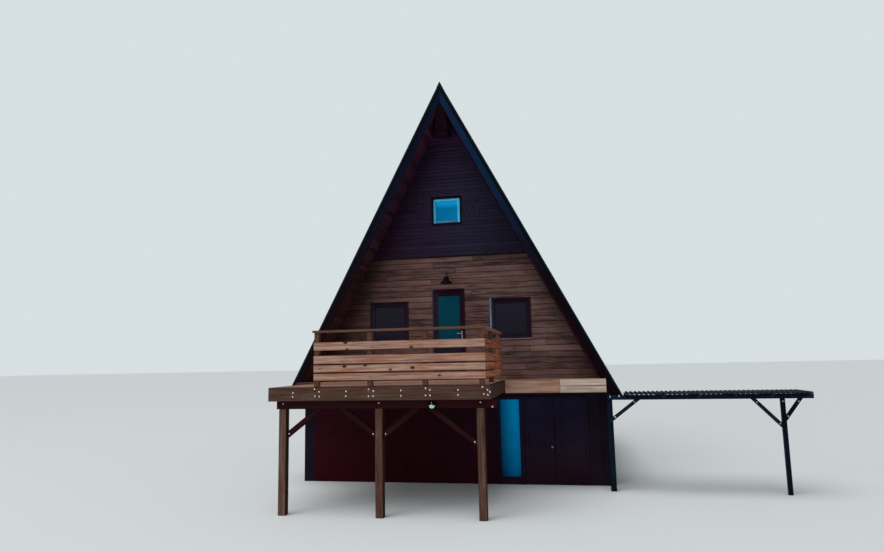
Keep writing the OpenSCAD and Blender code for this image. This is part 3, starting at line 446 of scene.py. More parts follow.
def shaded_timber(name="spruce, sawn and weathered", depth=0.35):
    """The same timber darkened to that share of its lightness: the terrace's shade painted into the
    colour.
    """
    return sawn_wood(name, shade(tint("terrace_dark"), depth), shade(tint("terrace_light"), depth),
                     "#1E100C", "#1E120E", 0.72, knots=0.9, streak=0.55, sheen=0.05, knot_size=1.6,
                     ruddy="#573027")


def deep_shade_timber():
    """Timber right under the terrace, nearly black with a red cast: the deep shade there painted
    into the colour.
    """
    return sawn_wood("spruce, sawn and damp", "#1A0A0B", "#36171A", "#120709", "#100608", 0.75,
                     knots=0.6, streak=0.35, sheen=0.03)


def dark_timber():
    """Canopy timber under a blue-black glaze, its grain only just showing."""
    return sawn_wood("spruce, blue-black glazed", "#070D16", "#172C40", "#04060A", "#04060A", 0.58,
                     knots=0.4, streak=0.3, sheen=0.04)


@finish
def painted(tree, place, base, lit, roughness, foot=None, span=(0.0, 1.0), sheen=0.04):
    """Brushed opaque paint on wood: fine brush streaks, slightly uneven gloss, dust in patches.
    A member's tone leads from the base colour to the one it has where the sky lights it. foot
    is what the paint fades to at the lower of the two heights in span."""
    # Brush marks about 4 mm apart, drawn 10 mm wide so that they show
    brush = streaks(tree, place, (95.0, 95.0, 9.0), 3.0)
    cloud = noise(tree, place, 1.8, 5.0, Roughness=0.6)
    member = mix(tree, attribute(tree, "tone"), base, lit)
    if foot:
        member = mix(tree, rise(tree, place, *span), foot, member)
    return {"Base Color": scaled(tree, member, ramp(tree, cloud, 0.3, 0.7, 0.72, 1.3)),
            "Roughness": ramp(tree, brush, 0.2, 0.8, roughness - 0.1, roughness + 0.12),
            "Normal": relief(tree, brush, 0.15, 0.001), "Specular IOR Level": sheen}


@finish
def render_coat(tree, place, base, damp):
    """Trowelled mineral render under dark paint: sandy grain of 2 mm, soft stains, dull, and
    redder towards the left and the ground: the red cast of shade painted into the colour."""
    # Sand grain of 2 mm, drawn at 8 mm so that it shows, and stains about a metre across
    sand = noise(tree, place, 125.0, 4.0)
    trowel = noise(tree, place, 6.0, 3.0)
    stain = noise(tree, place, 1.1, 6.0, Roughness=0.65)
    # Painted shade: damp is the colour towards the left, under the terrace, and the tint below makes the
    # coat redder towards the ground
    body = mix(tree, rise(tree, place, -1.0, 2.6, X), damp, base)
    body = tinted(tree, place, body, ((Z, 0.2, 1.7, (1.1, 0.75, 0.75), NO_TINT),))
    grainy = maths(tree, "MULTIPLY_ADD", sand, 0.3, ramp(tree, stain, 0.3, 0.72, 0.75, 1.35))
    height = maths(tree, "MULTIPLY_ADD", trowel, 0.8, sand)
    return {"Base Color": scaled(tree, body, grainy), "Roughness": 0.85,
            "Normal": relief(tree, height, 0.5, 0.003), "Specular IOR Level": 0.02}


@finish
def coated_steel(tree, place, base, roughness=0.42, sheen=0.15):
    """Roll-formed steel with a baked dark coat: each bay a touch different, faint run marks."""
    # Bays half a metre wide between the seams, each with its own tone
    tone = strip_tone(tree, place, Y, 0.5)
    runs = streaks(tree, place, (1.2, 22.0, 1.2), 5.0)
    dust = maths(tree, "MULTIPLY_ADD", tone, 0.35, runs)
    # Slight oil-canning, waves some 0.4 m long
    waves = noise(tree, place, 2.4, 1.0)
    return {"Base Color": mix(tree, ramp(tree, dust, 0.35, 1.0), shade(base, 0.8), shade(base, 1.7)),
            "Roughness": ramp(tree, runs, 0.2, 0.8, roughness - 0.06, roughness + 0.14),
            "Normal": relief(tree, waves, 0.25, 0.01), "Specular IOR Level": sheen}


@finish
def zinc_coated(tree, place, base):
    """Zinc-coated or nickel-plated steel: bright, with spangle patches of 6 mm in slightly
    different greys."""
    spangle = add(tree, "TexVoronoi", {"Vector": place, "Scale": 160.0}).outputs["Color"]
    patch = part(tree, spangle, X)
    return {"Base Color": mix(tree, patch, shade(base, 0.75), base), "Metallic": 1.0,
            "Roughness": ramp(tree, patch, low=0.25, high=0.42)}


def bright_zinc():
    """Zinc of bolts and washers, plated bright and hardly dulled."""
    return zinc_coated("steel, bright zinc plated", "#EADDD8")


@finish
def enamel(tree, place, base, sheen=0.06):
    """Baked enamel on spun steel: smooth, with faint orange peel, dulled by years outdoors."""
    peel = noise(tree, place, 220.0, 2.0)
    return {"Base Color": mix(tree, peel, shade(base, 0.85), shade(base, 1.15)),
            "Roughness": ramp(tree, peel, low=0.24, high=0.36),
            "Normal": relief(tree, peel, 0.1, 0.0005), "Specular IOR Level": sheen}


@finish
def float_glass(tree, place, top, bottom, low_z, high_z, sky, tints=()):
    """Float glass before a dark room, with the faint waves of a large pane. Its colour is a painted
    reflection of the sky that it stands under, lighter towards its top, and sky tints what it
    mirrors with a painted sky colour."""
    cloud = noise(tree, place, 2.2, 2.0)
    mixed = maths(tree, "MULTIPLY_ADD", cloud, 0.4, rise(tree, place, low_z, high_z))
    body = mix(tree, ramp(tree, mixed, 0.1, 1.25), bottom, top)
    waves = noise(tree, place, 1.6, 1.0)
    return {"Base Color": tinted(tree, place, body, tints), "Roughness": 0.04, "IOR": 1.52,
            "Normal": relief(tree, waves, 0.04, 0.01), "Specular Tint": sky}


@finish
def opal_glass(tree, place):
    """Pressed opal glass: milky, smooth outside, with faint clouds."""
    return {"Base Color": mix(tree, noise(tree, place, 40.0, 2.0), "#A9D3DC", "#DDF2F5"),
            "Roughness": 0.12, "IOR": 1.5, "Coat Weight": 0.5, "Coat Roughness": 0.05}


@finish
def concrete(tree, place):
    """Float-finished concrete of the ground slab: pale grey, blotched, with fine pores."""
    pores = add(tree, "TexVoronoi", {"Vector": place, "Scale": 90.0}).outputs["Distance"]
    return {"Base Color": mix(tree, noise(tree, place, 1.6, 7.0), "#5E5B58", "#8C8883"),
            "Roughness": 0.9, "Normal": relief(tree, pores, 0.3, 0.002)}


@finish
def lining(tree, place):
    """Planed spruce lining inside the shell, seen only through the glass and from below."""
    # Boards 120 mm wide with a tone of their own
    tone = strip_tone(tree, place, Z, 0.12)
    rings = streaks(tree, place, (1.5, 1.5, 60.0), 4.0)
    level = maths(tree, "MULTIPLY_ADD", tone, 0.4, rings)
    return {"Base Color": mix(tree, level, "#3B2A20", "#7A5A42"), "Roughness": 0.7,
            "Normal": relief(tree, rings, 0.2, 0.002)}


@finish
def matt_paper(tree, place):
    """Pale matt backdrop paper of the studio floor, quite even."""
    return {"Base Color": "#E2E6E8", "Roughness": 0.9}


def inset(outline, distance):
    """A convex outline with every side moved inwards by that distance."""
    # A corner moves at most five times as far
    moved, least = [], 0.2
    after = outline[1:] + outline[:1]
    area = sum(a[0] * b[1] - b[0] * a[1] for a, b in zip(outline, after))
    side = 1 if area > 0 else -1
    for before, here, next_one in zip(outline[-1:] + outline[:-1], outline, after):
        d0 = Vector((here[0] - before[0], here[1] - before[1])).normalized()
        d1 = Vector((next_one[0] - here[0], next_one[1] - here[1])).normalized()
        n0 = Vector((-d0.y, d0.x)) * side
        n1 = Vector((-d1.y, d1.x)) * side
        bisector = (n0 + n1).normalized()
        reach = distance / max(least, bisector.dot(n0))
        moved.append((here[0] + bisector.x * reach, here[1] + bisector.y * reach))
    return moved


def skin(bm, rings):
    """Faces over rings of vertices: the two ends, and a quad between each pair of neighbours."""
    faces = [bm.faces.new(rings[0]), bm.faces.new(rings[-1][::-1])]
    for near, far in zip(rings, rings[1:]):
        for i in range(len(near)):
            k = (i + 1) % len(near)
            faces.append(bm.faces.new([near[i], far[i], far[k], near[k]]))
    return faces


def mesh_from(bm, name):
    """A mesh of what the bmesh holds, with its faces turned outwards."""
    bmesh.ops.recalc_face_normals(bm, faces=bm.faces[:])
    mesh = bpy.data.meshes.new(name)
    bm.to_mesh(mesh)
    bm.free()
    return mesh


def link(name, data):
    """A new object in the scene."""
    made = bpy.data.objects.new(name, data)
    bpy.context.scene.collection.objects.link(made)
    return made


# Distance under which two vertices of a CAD node are the same
MERGE = 1e-5


def rounded(spot):
    """A place to the nearest millimetre, to sort by."""
    return tuple(round(v, 3) for v in spot)


class Boards:
    """Gathers boards and timbers of one finish, each with its own grain, tone and eased edges."""

    def __init__(self, name, seed):
        self.name = name
        self.draw = random.Random(seed)
        self.bm = bmesh.new()
        self.grain = self.bm.loops.layers.float_vector.new("grain")
        self.across = self.bm.loops.layers.float.new("across")
        self.tone = self.bm.faces.layers.float.new("tone")

    def mark(self, faces, to_grain, tone):
        """Gives faces their grain, place across and tone. to_grain turns a vertex into the pair
        of its grain place and its place across the board."""
        shift = Vector([self.draw.uniform(-40, 40) for _ in range(3)])
        for face in faces:
            face[self.tone] = tone
            for loop in face.loops:
                along, across = to_grain(loop.vert)
                loop[self.grain] = along + shift
                loop[self.across] = across

    def lay(self, outline, place, thickness, chamfer=0.003, tone=None, both=False):
        """Lays one board. outline is its face as (along, across) points, and place turns a point
        (along, across, depth below the face) into the frame. both eases its back edges too."""
        eased = inset(outline, chamfer)
        rings = [(eased, 0.0), (outline, chamfer)]
        rings += [(outline, thickness - chamfer), (eased, thickness)] if both else [(outline, thickness)]
        local, verts = {}, []
        for ring, depth in rings:
            row = [self.bm.verts.new(place(a, c, depth)) for a, c in ring]
            local.update((vert, Vector((a, c, depth))) for vert, (a, c) in zip(row, ring))
            verts.append(row)
        low, high = min(c for a, c in outline), max(c for a, c in outline)
        middle, half = (low + high) / 2, (high - low) / 2
        if tone is None:
            tone = self.draw.random()
        self.mark(skin(self.bm, verts), lambda v: (local[v], (local[v].y - middle) / half), tone)

    def timber(self, lo, hi, along, out, chamfer=0.003, tone=None, both=True):
        """Lays one board that fills a box. along is the axis of its length, and out is the axis
        and the sign of its face."""
        axis, sign = out
        across = 3 - along - axis
        face = hi[axis] if sign > 0 else lo[axis]

        def place(a, c, d):
            spot = [0, 0, 0]
            spot[along], spot[across], spot[axis] = a, c, face - sign * d
            return Vector(spot)

        outline = [(lo[along], lo[across]), (hi[along], lo[across]),
                   (hi[along], hi[across]), (lo[along], hi[across])]
        self.lay(outline, place, hi[axis] - lo[axis], chamfer, tone, both)

    def ring(self, lo, hi, member, out, tones, chamfer=0.003, foot=True, head=True):
        """A frame in the plane of a wall: upright members from end to end and level ones between
        them. tones go to the left, right, top and bottom member."""
        left, right, top, bottom = tones
        high = hi[Z] if head else hi[Z] - member
        x0, x1 = lo[X] + member, hi[X] - member
        self.timber(lo, (x0, hi[Y], high), Z, out, chamfer, left)
        self.timber((x1, lo[Y], lo[Z]), (hi[X], hi[Y], high), Z, out, chamfer, right)
        if head:
            self.timber((x0, lo[Y], hi[Z] - member), (x1, hi[Y], hi[Z]), X, out, chamfer, top)
        if foot:
            self.timber((x0, lo[Y], lo[Z]), (x1, hi[Y], lo[Z] + member), X, out, chamfer, bottom)

    def take(self, node, bevel, low, high):
        """Takes over the solids of a CAD node with eased edges and grain along each one's length,
        their tones between low and high."""
        solid = bmesh.new()
        solid.from_mesh(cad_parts[node].data)
        bmesh.ops.remove_doubles(solid, verts=solid.verts[:], dist=MERGE)
        bmesh.ops.dissolve_limit(solid, angle_limit=0.02, verts=solid.verts[:], edges=solid.edges[:])
        crease = 0.3
        sharp = [e for e in solid.edges if len(e.link_faces) == 2 and e.calc_face_angle() > crease]
        bmesh.ops.bevel(solid, geom=sharp, offset=bevel, offset_type="OFFSET", segments=2,
                        profile=0.6, affect="EDGES", clamp_overlap=True)
        copy = bpy.data.meshes.new(node + "_copy")
        solid.to_mesh(copy)
        solid.free()
        first = len(self.bm.faces)
        self.bm.from_mesh(copy)
        bpy.data.meshes.remove(copy)
        self.bm.faces.ensure_lookup_table()
        self.bm.verts.index_update()
        islands = solids_of(self.bm.faces[first:])
        islands.sort(key=lambda faces: rounded(faces[0].verts[0].co))
        for faces in islands:
            tone = self.draw.uniform(low, high)
            self.mark(faces, length_frame(faces), tone)

    def upright(self, lo, hi, count, gap, chamfer, low, high, both=True):
        """Upright boards side by side that fill a box, with half a gap at each side of a board
        and tones between low and high."""
        step = (hi[X] - lo[X]) / count
        for i in range(count):
            x0, x1 = lo[X] + i * step + gap / 2, lo[X] + (i + 1) * step - gap / 2
            self.timber((x0, lo[Y], lo[Z]), (x1, hi[Y], hi[Z]), Z, TO_FRONT, chamfer,
                        self.draw.uniform(low, high), both)

    def beads(self, x0, x1, glass_lo, glass_hi, tones):
        """Beads round a pane, on its outer face."""
        size = 0.012
        self.ring((x0, glass_lo.y - size, glass_lo.z), (x1, glass_lo.y - CLEAR, glass_hi.z), size,
                  TO_FRONT, tones, 0.004)

    def done(self, material, slot, *replaces, body="cabin", cut=()):
        """Makes the piece, as place_piece says."""
        place_piece(self.bm, self.name, material, slot, *replaces, body=body, cut=cut)


def timber_piece(node, name, seed, material, slot, bevel=0.004, low=0.0, high=1.0):
    """Replaces a CAD node by the same timbers with eased edges and grain."""
    timbers = Boards(name, seed)
    timbers.take(node, bevel, low, high)
    timbers.done(material, slot, node)


def solids_of(faces):
    """Groups faces into solids that share no vertex."""
    left = set(faces)
    groups = []
    while left:
        seed = left.pop()
        group, edge = [seed], [seed]
        while edge:
            for vert in edge.pop().verts:
                for other in vert.link_faces:
                    if other in left:
                        left.remove(other)
                        group.append(other)
                        edge.append(other)
        groups.append(sorted(group, key=lambda f: f.index))
    return groups


def length_frame(faces):
    """A function from a vertex of the solid to its grain place and its place across the width."""
    verts = {v for f in faces for v in f.verts}
    # Of equally long edges this takes the first, the same one in each run
    longest = max((e for f in faces for e in f.edges), key=lambda e: e.calc_length())
    along = (longest.verts[1].co - longest.verts[0].co).normalized()
    helper = Vector(UP) if abs(along.z) < 0.7 else Vector(RIGHT)
    one = along.cross(helper).normalized()
    two = along.cross(one).normalized()
    spans = []
    for axis in (one, two):
        reach = [v.co.dot(axis) for v in verts]
        spans.append((max(reach) - min(reach), (max(reach) + min(reach)) / 2, axis))
    spans.sort(key=lambda s: -s[0])
    (width, middle, wide), (_, _, thin) = spans

    def to_grain(vert):
        spot = Vector((vert.co.dot(along), vert.co.dot(wide), vert.co.dot(thin)))
        return spot, (spot.y - middle) / (width / 2)

    return to_grain


def plain_boxes(boxes):
    """A bmesh of plain boxes, each given by its lowest and highest corner."""
    bm = bmesh.new()
    for lo, hi in boxes:
        lo, hi = Vector(lo), Vector(hi)
        matrix = Matrix.Translation((lo + hi) / 2) @ Matrix.Diagonal((*(hi - lo), 1))
        bmesh.ops.create_cube(bm, size=1, matrix=matrix)
    return bm


def place_piece(bm, name, material, slot, *replaces, body="cabin", cut=()):
    """Links what a bmesh holds as a named piece with its material, cut by boxes, riding on its
    body in place of a CAD node."""
    mesh = mesh_from(bm, name)
    piece = link(name, mesh)
    if cut:
        cutter = link(name + "_cut", mesh_from(plain_boxes(cut), name + "_cut"))
        modifier = piece.modifiers.new("openings", "BOOLEAN")
        modifier.operation = "DIFFERENCE"
        modifier.solver = "EXACT"
        modifier.object = cutter
        bpy.context.view_layer.update()
        evaluated = piece.evaluated_get(bpy.context.evaluated_depsgraph_get())
        piece.data = bpy.data.meshes.new_from_object(evaluated)
        piece.modifiers.clear()
        bpy.data.meshes.remove(mesh)
        bpy.data.objects.remove(cutter)
        piece.data.name = name
    piece.data.materials.clear()
    piece.data.materials.append(material)
    if replaces:
        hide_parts(*replaces)
    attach(piece, body)


def dress(material, *nodes):
    """Gives CAD nodes their material in their own slots."""
    for node in nodes:
        node_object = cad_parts[node]
        if not node_object.material_slots:
            node_object.data.materials.append(material)
        for material_slot in node_object.material_slots:
            material_slot.material = material


def node_boxes(node):
    """Lowest and highest corner of every solid of a CAD node, from left to right, then upwards."""
    bm = bmesh.new()
    bm.from_mesh(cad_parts[node].data)
    bmesh.ops.remove_doubles(bm, verts=bm.verts[:], dist=MERGE)
    boxes = []
    for faces in solids_of(bm.faces[:]):
        sides = list(zip(*(v.co for f in faces for v in f.verts)))
        boxes.append((Vector([min(side) for side in sides]), Vector([max(side) for side in sides])))
    bm.free()
    return sorted(boxes, key=lambda box: rounded(box[0]))


def split_run(draw, start, end, shortest, longest):
    """Cuts a run into board lengths between shortest and longest."""
    cuts = [start]
    while end - cuts[-1] > longest:
        cuts.append(cuts[-1] + draw.uniform(shortest, longest))
        if end - cuts[-1] < shortest * 0.5:
            cuts.pop()
            break
    return list(zip(cuts, cuts[1:] + [end]))


def revolve(profile, steps, matrix, bm):
    """Turns (radius, height) points round the local Z axis into a bmesh."""
    rings = []
    for radius, height in profile:
        if radius < 1e-6:
            rings.append([bm.verts.new(matrix @ Vector((0, 0, height)))])
            continue
        angles = (math.tau * i / steps for i in range(steps))
        rings.append([bm.verts.new(matrix @ Vector((radius * math.cos(a), radius * math.sin(a), height)))
                      for a in angles])
    for lower, upper in zip(rings, rings[1:]):
        for i in range(steps):
            k = (i + 1) % steps
            corners = dict.fromkeys([lower[i % len(lower)], lower[k % len(lower)],
                                     upper[k % len(upper)], upper[i % len(upper)]])
            if len(corners) > 2:
                bm.faces.new(list(corners))


def turned_piece(name, profile, steps, places, material, slot, *replaces):
    """One mesh with the same turned shape at every place, given as matrices."""
    bm = bmesh.new()
    for matrix in places:
        revolve(profile, steps, matrix, bm)
    for face in bm.faces:
        face.smooth = True
    place_piece(bm, name, material, slot, *replaces)


def facing(spot, direction=FRONT):
    """Matrix that puts a turned shape at spot with its axis along direction."""
    turn = Vector(direction).to_track_quat("Z", "Y").to_matrix().to_4x4()
    return Matrix.Translation(spot) @ turn


def domed(radius, height, washer_t):
    """Profile of a bolt's domed head of that radius and height, down to its washer's face."""
    dome = ((0, 1), (0.5, 0.93), (0.87, 0.66), (1, 0.2), (1, 0))
    return [(radius * r, height * h + washer_t) for r, h in dome]


def screws(name, places):
    """Countersunk screw heads with a shallow dimple for their recess, flush with the wood."""
    r = sizes().screw_r
    profile = [(0, -0.0006), (r * 0.45, -0.0004), (r * 0.55, 0.0006), (r, 0.0004), (r, -0.001),
               (0, -0.001)]
    turned_piece(name, profile, 8, places, zinc_coated("steel, hot-dip galvanised", "#B9BDC0"), "steel")


# Least height of a row, least half width of a row, and least length of a board
THINNEST_ROW, NARROWEST_HALF, SHORTEST_PIECE = 0.02, 0.06, 0.05


def wall_rows(boards, end, low, high, pitch, lengths, tones):
    """Lays rows of boards on an end wall, between the soffit boards of both slopes. lengths are
    the shortest and the longest board."""
    s = sizes()
    face_y, outward = end
    stagger, unevenness, spread = 0.4, 0.0015, 0.1
    for row in range(math.ceil((high - low) / pitch - 0.01)):
        top = high - row * pitch
        bottom = max(low, top - pitch + s.row_gap)
        half_top, half_bottom = (inner_x(z) - s.soffit_t - JOINT for z in (top, bottom))
        if top - bottom < THINNEST_ROW or half_top < NARROWEST_HALF:
            continue
        start = -half_bottom + boards.draw.uniform(0.0, stagger)
        for x0, x1 in split_run(boards.draw, start - lengths[1], half_bottom, *lengths):
            left_low, left_high = max(x0, -half_bottom), max(x0, -half_top)
            right_low, right_high = min(x1 - JOINT, half_bottom), min(x1 - JOINT, half_top)
            if min(right_high - left_high, right_low - left_low) < SHORTEST_PIECE:
                continue
            thickness = s.siding_t + boards.draw.uniform(-unevenness, unevenness)
            front = face_y + outward * thickness
            outline = [(left_low, bottom), (right_low, bottom), (right_high, top), (left_high, top)]
            tone = boards.draw.choice(tones) + boards.draw.uniform(-spread, spread)
            boards.lay(outline, lambda a, c, d: Vector((a, front - outward * d, c)),
                       thickness - CLEAR, 0.004, tone)


def through(end):
    """The depths between which an opening is cut through the boards of an end wall."""
    face_y, outward = end
    inside, outside = 0.3, 0.2
    return sorted((face_y - outward * inside, face_y + outward * outside))


def opening_boxes(y0, y1, above=0.0):
    """Boxes of the front or back openings, from the fixed frames, to cut boards with."""
    return [((lo.x, y0, lo.z), (hi.x, y1, hi.z + above)) for lo, hi in node_boxes("window_frames")
            if y0 < (lo.y + hi.y) / 2 < y1]


def panes_by_place():
    """Boxes of the panes of the gables, of the main storey's windows and of the terrace door,
    whose pane is the only one over a metre high."""
    gable, storey, door = [], [], []
    for lo, hi in node_boxes("window_glass"):
        if lo.z > ATTIC_Z:
            gable.append((lo, hi))
        elif hi.z - lo.z > 1.0:
            door.append((lo, hi))
        else:
            storey.append((lo, hi))
    return gable, storey, door


def outside_in(lo, hi, near, far):
    """The box between two depths below the outer face of lo and hi, for front and back alike."""
    if lo.y < 0:
        return Vector((lo.x, lo.y + near, lo.z)), Vector((hi.x, lo.y + far, hi.z))
    return Vector((lo.x, hi.y - far, lo.z)), Vector((hi.x, hi.y - near, hi.z))


def shrink(lo, hi, by):
    """The same box with its left, right, top and bottom moved inwards."""
    return Vector((lo.x + by, lo.y, lo.z + by)), Vector((hi.x - by, hi.y, hi.z - by))


def slanting(x0, x1, low, high, width):
    """Outline of a brace of that level width, from x0 at its foot to x1 at its head."""
    wide = width if x1 > x0 else -width
    return [(x0, low), (x0 + wide, low), (x1, high), (x1 - wide, high)]


def on_slope(start, side, y, up, inward):
    """The point that far up the slope and into the room from a start on the right-hand slope, or
    its mirror image for side -1."""
    point = start + UP_SLOPE * up + INTO_ROOM * inward
    return Vector((point.x * side, y, point.z))


class CABIN_OT_siding(bpy.types.Operator):
    """Weathered boards on the main storey's front and back walls"""
    bl_idname = "cabin.siding"
    bl_label = "Siding"

    def execute(self, context):
        tones = (0.26, 0.38, 0.44, 0.5, 0.56, 0.62, 0.74)
        low, high = FLOOR_Z + 0.004, ATTIC_Z - 0.002
        for name, seed, end in (("siding_front", 11, FRONT_END), ("siding_back", 12, BACK_END)):
            boards = Boards(name, seed)
            wall_rows(boards, end, low, high, sizes().siding_pitch, (1.3, 3.4), tones)
            y0, y1 = through(end)
            cuts = opening_boxes(y0, y1)
            if end is FRONT_END:
                lo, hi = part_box("terrace_door_frame")
                cuts.append(((lo.x, y0, lo.z - 0.1), (hi.x, y1, hi.z)))
            boards.done(weathered_siding(), "weathered_siding", cut=cuts)
        return {"FINISHED"}


class CABIN_OT_gables(bpy.types.Operator):
    """Dark narrow boards on both gables, and the flashing at the attic floor"""
    bl_idname = "cabin.gables"
    bl_label = "Gable boards"

    # Height of the flashing over the attic floor, where the lowest board starts
    FLASHING_H = 0.022

    def execute(self, context):
        s = sizes()
        low, half = ATTIC_Z + self.FLASHING_H, RIDGE_BEAM_HI.x
        high = low + s.gable_pitch * math.ceil((GABLE_TOP_Z - low) / s.gable_pitch)
        for name, seed, end in (("gable_boards_front", 21, FRONT_END),
                                ("gable_boards_back", 22, BACK_END)):
            boards = Boards(name, seed)
            wall_rows(boards, end, low, high, s.gable_pitch, (1.6, 4.2), (0.3, 0.45, 0.5, 0.6, 0.7))
            y0, y1 = through(end)
            cuts = opening_boxes(y0, y1, s.head_rise)
            cuts.append(((-half, y0, RIDGE_BEAM_LO.z), (half, y1, RIDGE_BEAM_HI.z + 1)))
            boards.done(stained_boards(), "dark_siding", cut=cuts)
        self.flashing()
        return {"FINISHED"}

    def flashing(self):
        """Folded drip sheet between the gable's boards and the siding."""
        s = sizes()
        bm = bmesh.new()
        half = inner_x(ATTIC_Z) - s.soffit_t - 0.004
        proud, sheet_t = 0.014, 0.0015
        for face_y, outward in (FRONT_END, BACK_END):
            out = face_y + outward * (s.siding_t + proud)
            inner = out - outward * sheet_t
            section = ((face_y, self.FLASHING_H), (face_y, 0.0185), (out, 0.004), (out, -0.018),
                       (inner, -0.018), (inner, 0.001), (face_y, 0.0155))
            skin(bm, [[bm.verts.new((x, y, ATTIC_Z + z)) for y, z in section] for x in (-half, half)])
        brown = coated_steel("steel sheet, brown coated", "#120A10", sheen=0.03)
        place_piece(bm, "attic_flashing", brown, "dark_board")


class CABIN_OT_shutters(bpy.types.Operator):
    """Boarded shutters with ledges and a slanting brace beside the gable window"""
    bl_idname = "cabin.shutters"
    bl_label = "Gable shutters"

    def execute(self, context):
        boards = Boards("shutter_boards", 31)
        thickness, past = 0.022, JOINT / 2
        front = FRONT_Y - thickness
        for lo, hi in node_boxes("gable_shutters"):
            boards.upright((lo.x - past, front, lo.z), (hi.x + past, FRONT_Y, hi.z), 4, JOINT, 0.003,
                           0.35, 0.6, both=False)
            self.ledges(boards, lo, hi, front)
        boards.done(stained_boards(), "dark_siding", "gable_shutters")
        return {"FINISHED"}

    def ledges(self, boards, lo, hi, face):
        """Two level ledges and the brace between them, on the boards of one shutter."""
        proud, ledge_w, edge, end, brace_end = 0.010, 0.09, 0.08, 0.015, 0.02
        foot_z, head_z = lo.z + edge + ledge_w, hi.z - edge - ledge_w
        for z in (lo.z + edge, head_z):
            boards.timber((lo.x + end, face - proud, z), (hi.x - end, face, z + ledge_w), X, TO_FRONT,
                          tone=0.55, both=False)
        ends = (lo.x + brace_end, hi.x - brace_end)
        x0, x1 = ends if lo.x > 0 else reversed(ends)
        boards.lay(slanting(x0, x1, foot_z, head_z, ledge_w),
                   lambda a, c, d: Vector((a, face - proud + d, c)), proud, tone=0.5)


class CABIN_OT_soffits(bpy.types.Operator):
    """Red-brown boards under both overhangs of the roof"""
    bl_idname = "cabin.soffits"
    bl_label = "Soffit boards"

    def execute(self, context):
        s = sizes()
        boards = Boards("soffit_boards", 41)
        foot = Vector((inner_x(EAVE_Z), 0, EAVE_Z))
        count = int((foot.x - RIDGE_BEAM_HI.x) / math.cos(PITCH) / s.soffit_pitch)
        # From behind the bargeboards to the walls, with the lowest board a little narrower
        barge_t, gap, eave_gap = 0.026, 0.004, 0.02
        ends = ((VERGE_Y + barge_t, FRONT_Y - CLEAR), (BACK_Y + CLEAR, VERGE_BACK_Y - barge_t))
        for (y0, y1), side, i in itertools.product(ends, (1, -1), range(count)):
            a0 = i * s.soffit_pitch + (eave_gap if i == 0 else 0)
            a1 = (i + 1) * s.soffit_pitch - gap
            boards.lay([(y0, a0), (y1, a0), (y1, a1), (y0, a1)],
                       lambda a, c, d: on_slope(foot, side, a, c, s.soffit_t - d),
                       s.soffit_t - HAIRLINE, 0.002)
        boards.done(soffit_boards(), "soffit_board")
        return {"FINISHED"}


class CABIN_OT_verges(bpy.types.Operator):
    """Painted bargeboards, the folded sheet over their upper edge, and the ridge beam"""
    bl_idname = "cabin.verges"
    bl_label = "Verges"

    def execute(self, context):
        s = sizes()
        boards, sheets = Boards("bargeboards_painted", 51), Boards("verge_sheets", 53)
        width = (EAVE_X - inner_x(EAVE_Z)) * math.sin(PITCH)
        # Distance behind the verge's plane, both depths down the slope, thickness and chamfer
        strips = ((boards, 0.0045, 0.0006, width - 0.0006, 0.0200, 0.004),
                  (sheets, 0.0008, 0.0004, s.verge_w, 0.0030, 0.0006),
                  (sheets, 0.0002, s.verge_w - 0.008, s.verge_w + 0.002, 0.0042, 0.0012))
        for side, tone in ((1, 1.0), (-1, 0.1)):
            for outward, plane in ((-1, VERGE_Y), (1, VERGE_BACK_Y)):
                for gathered, behind, near, far, thickness, chamfer in strips:
                    self.strip(gathered, side, outward, plane - outward * behind, near, far,
                               thickness, chamfer, tone)
        # Painted light and shade: purple-black at the eaves, blue high up as a painted reflection of the
        # sky, and the shaded colour on the left-hand slope
        boards.done(painted("exterior paint, blue-black", tint("barge_low"), tint("barge"), 0.5,
                            foot=tint("barge_foot"), span=(4.4, 6.9)), "dark_board", "bargeboards")
        sheets.done(coated_steel("steel sheet, black coated", tint("verge"), sheen=0.03), "roof_sheet")
        timber_piece("ridge_beam", "ridge_beam_timber", 52, beam_timber(), "soffit_board", 0.006)
        return {"FINISHED"}

    def strip(self, boards, side, outward, face, near, far, thickness, chamfer, tone):
        """A board along the slope between two depths below the roof's upper face, cut level at
        the eaves and plumb at the ridge."""
        corner = Vector((EAVE_X, 0, EAVE_Z))
        top_x = 0.0012

        def foot(depth):
            return depth * math.cos(PITCH) / math.sin(PITCH) + CLEAR

        def head(depth):
            return (corner.x - depth * math.sin(PITCH) - top_x) / math.cos(PITCH)

        outline = [(foot(near), near), (head(near), near), (head(far), far), (foot(far), far)]
        boards.lay(outline, lambda a, c, d: on_slope(corner, side, face - outward * d, a, c),
                   thickness, chamfer, tone)


class CABIN_OT_roof(bpy.types.Operator):
    """Finishes of the seamed sheet, the ridge cap and the two slopes"""
    bl_idname = "cabin.roof"
    bl_label = "Roof"

    def execute(self, context):
        dress(coated_steel("steel sheet, anthracite coated", "#171D26"), "roof_covers", "ridge_cap")
        dress(lining("spruce lining, planed"), "roof_left", "roof_right")
        return {"FINISHED"}


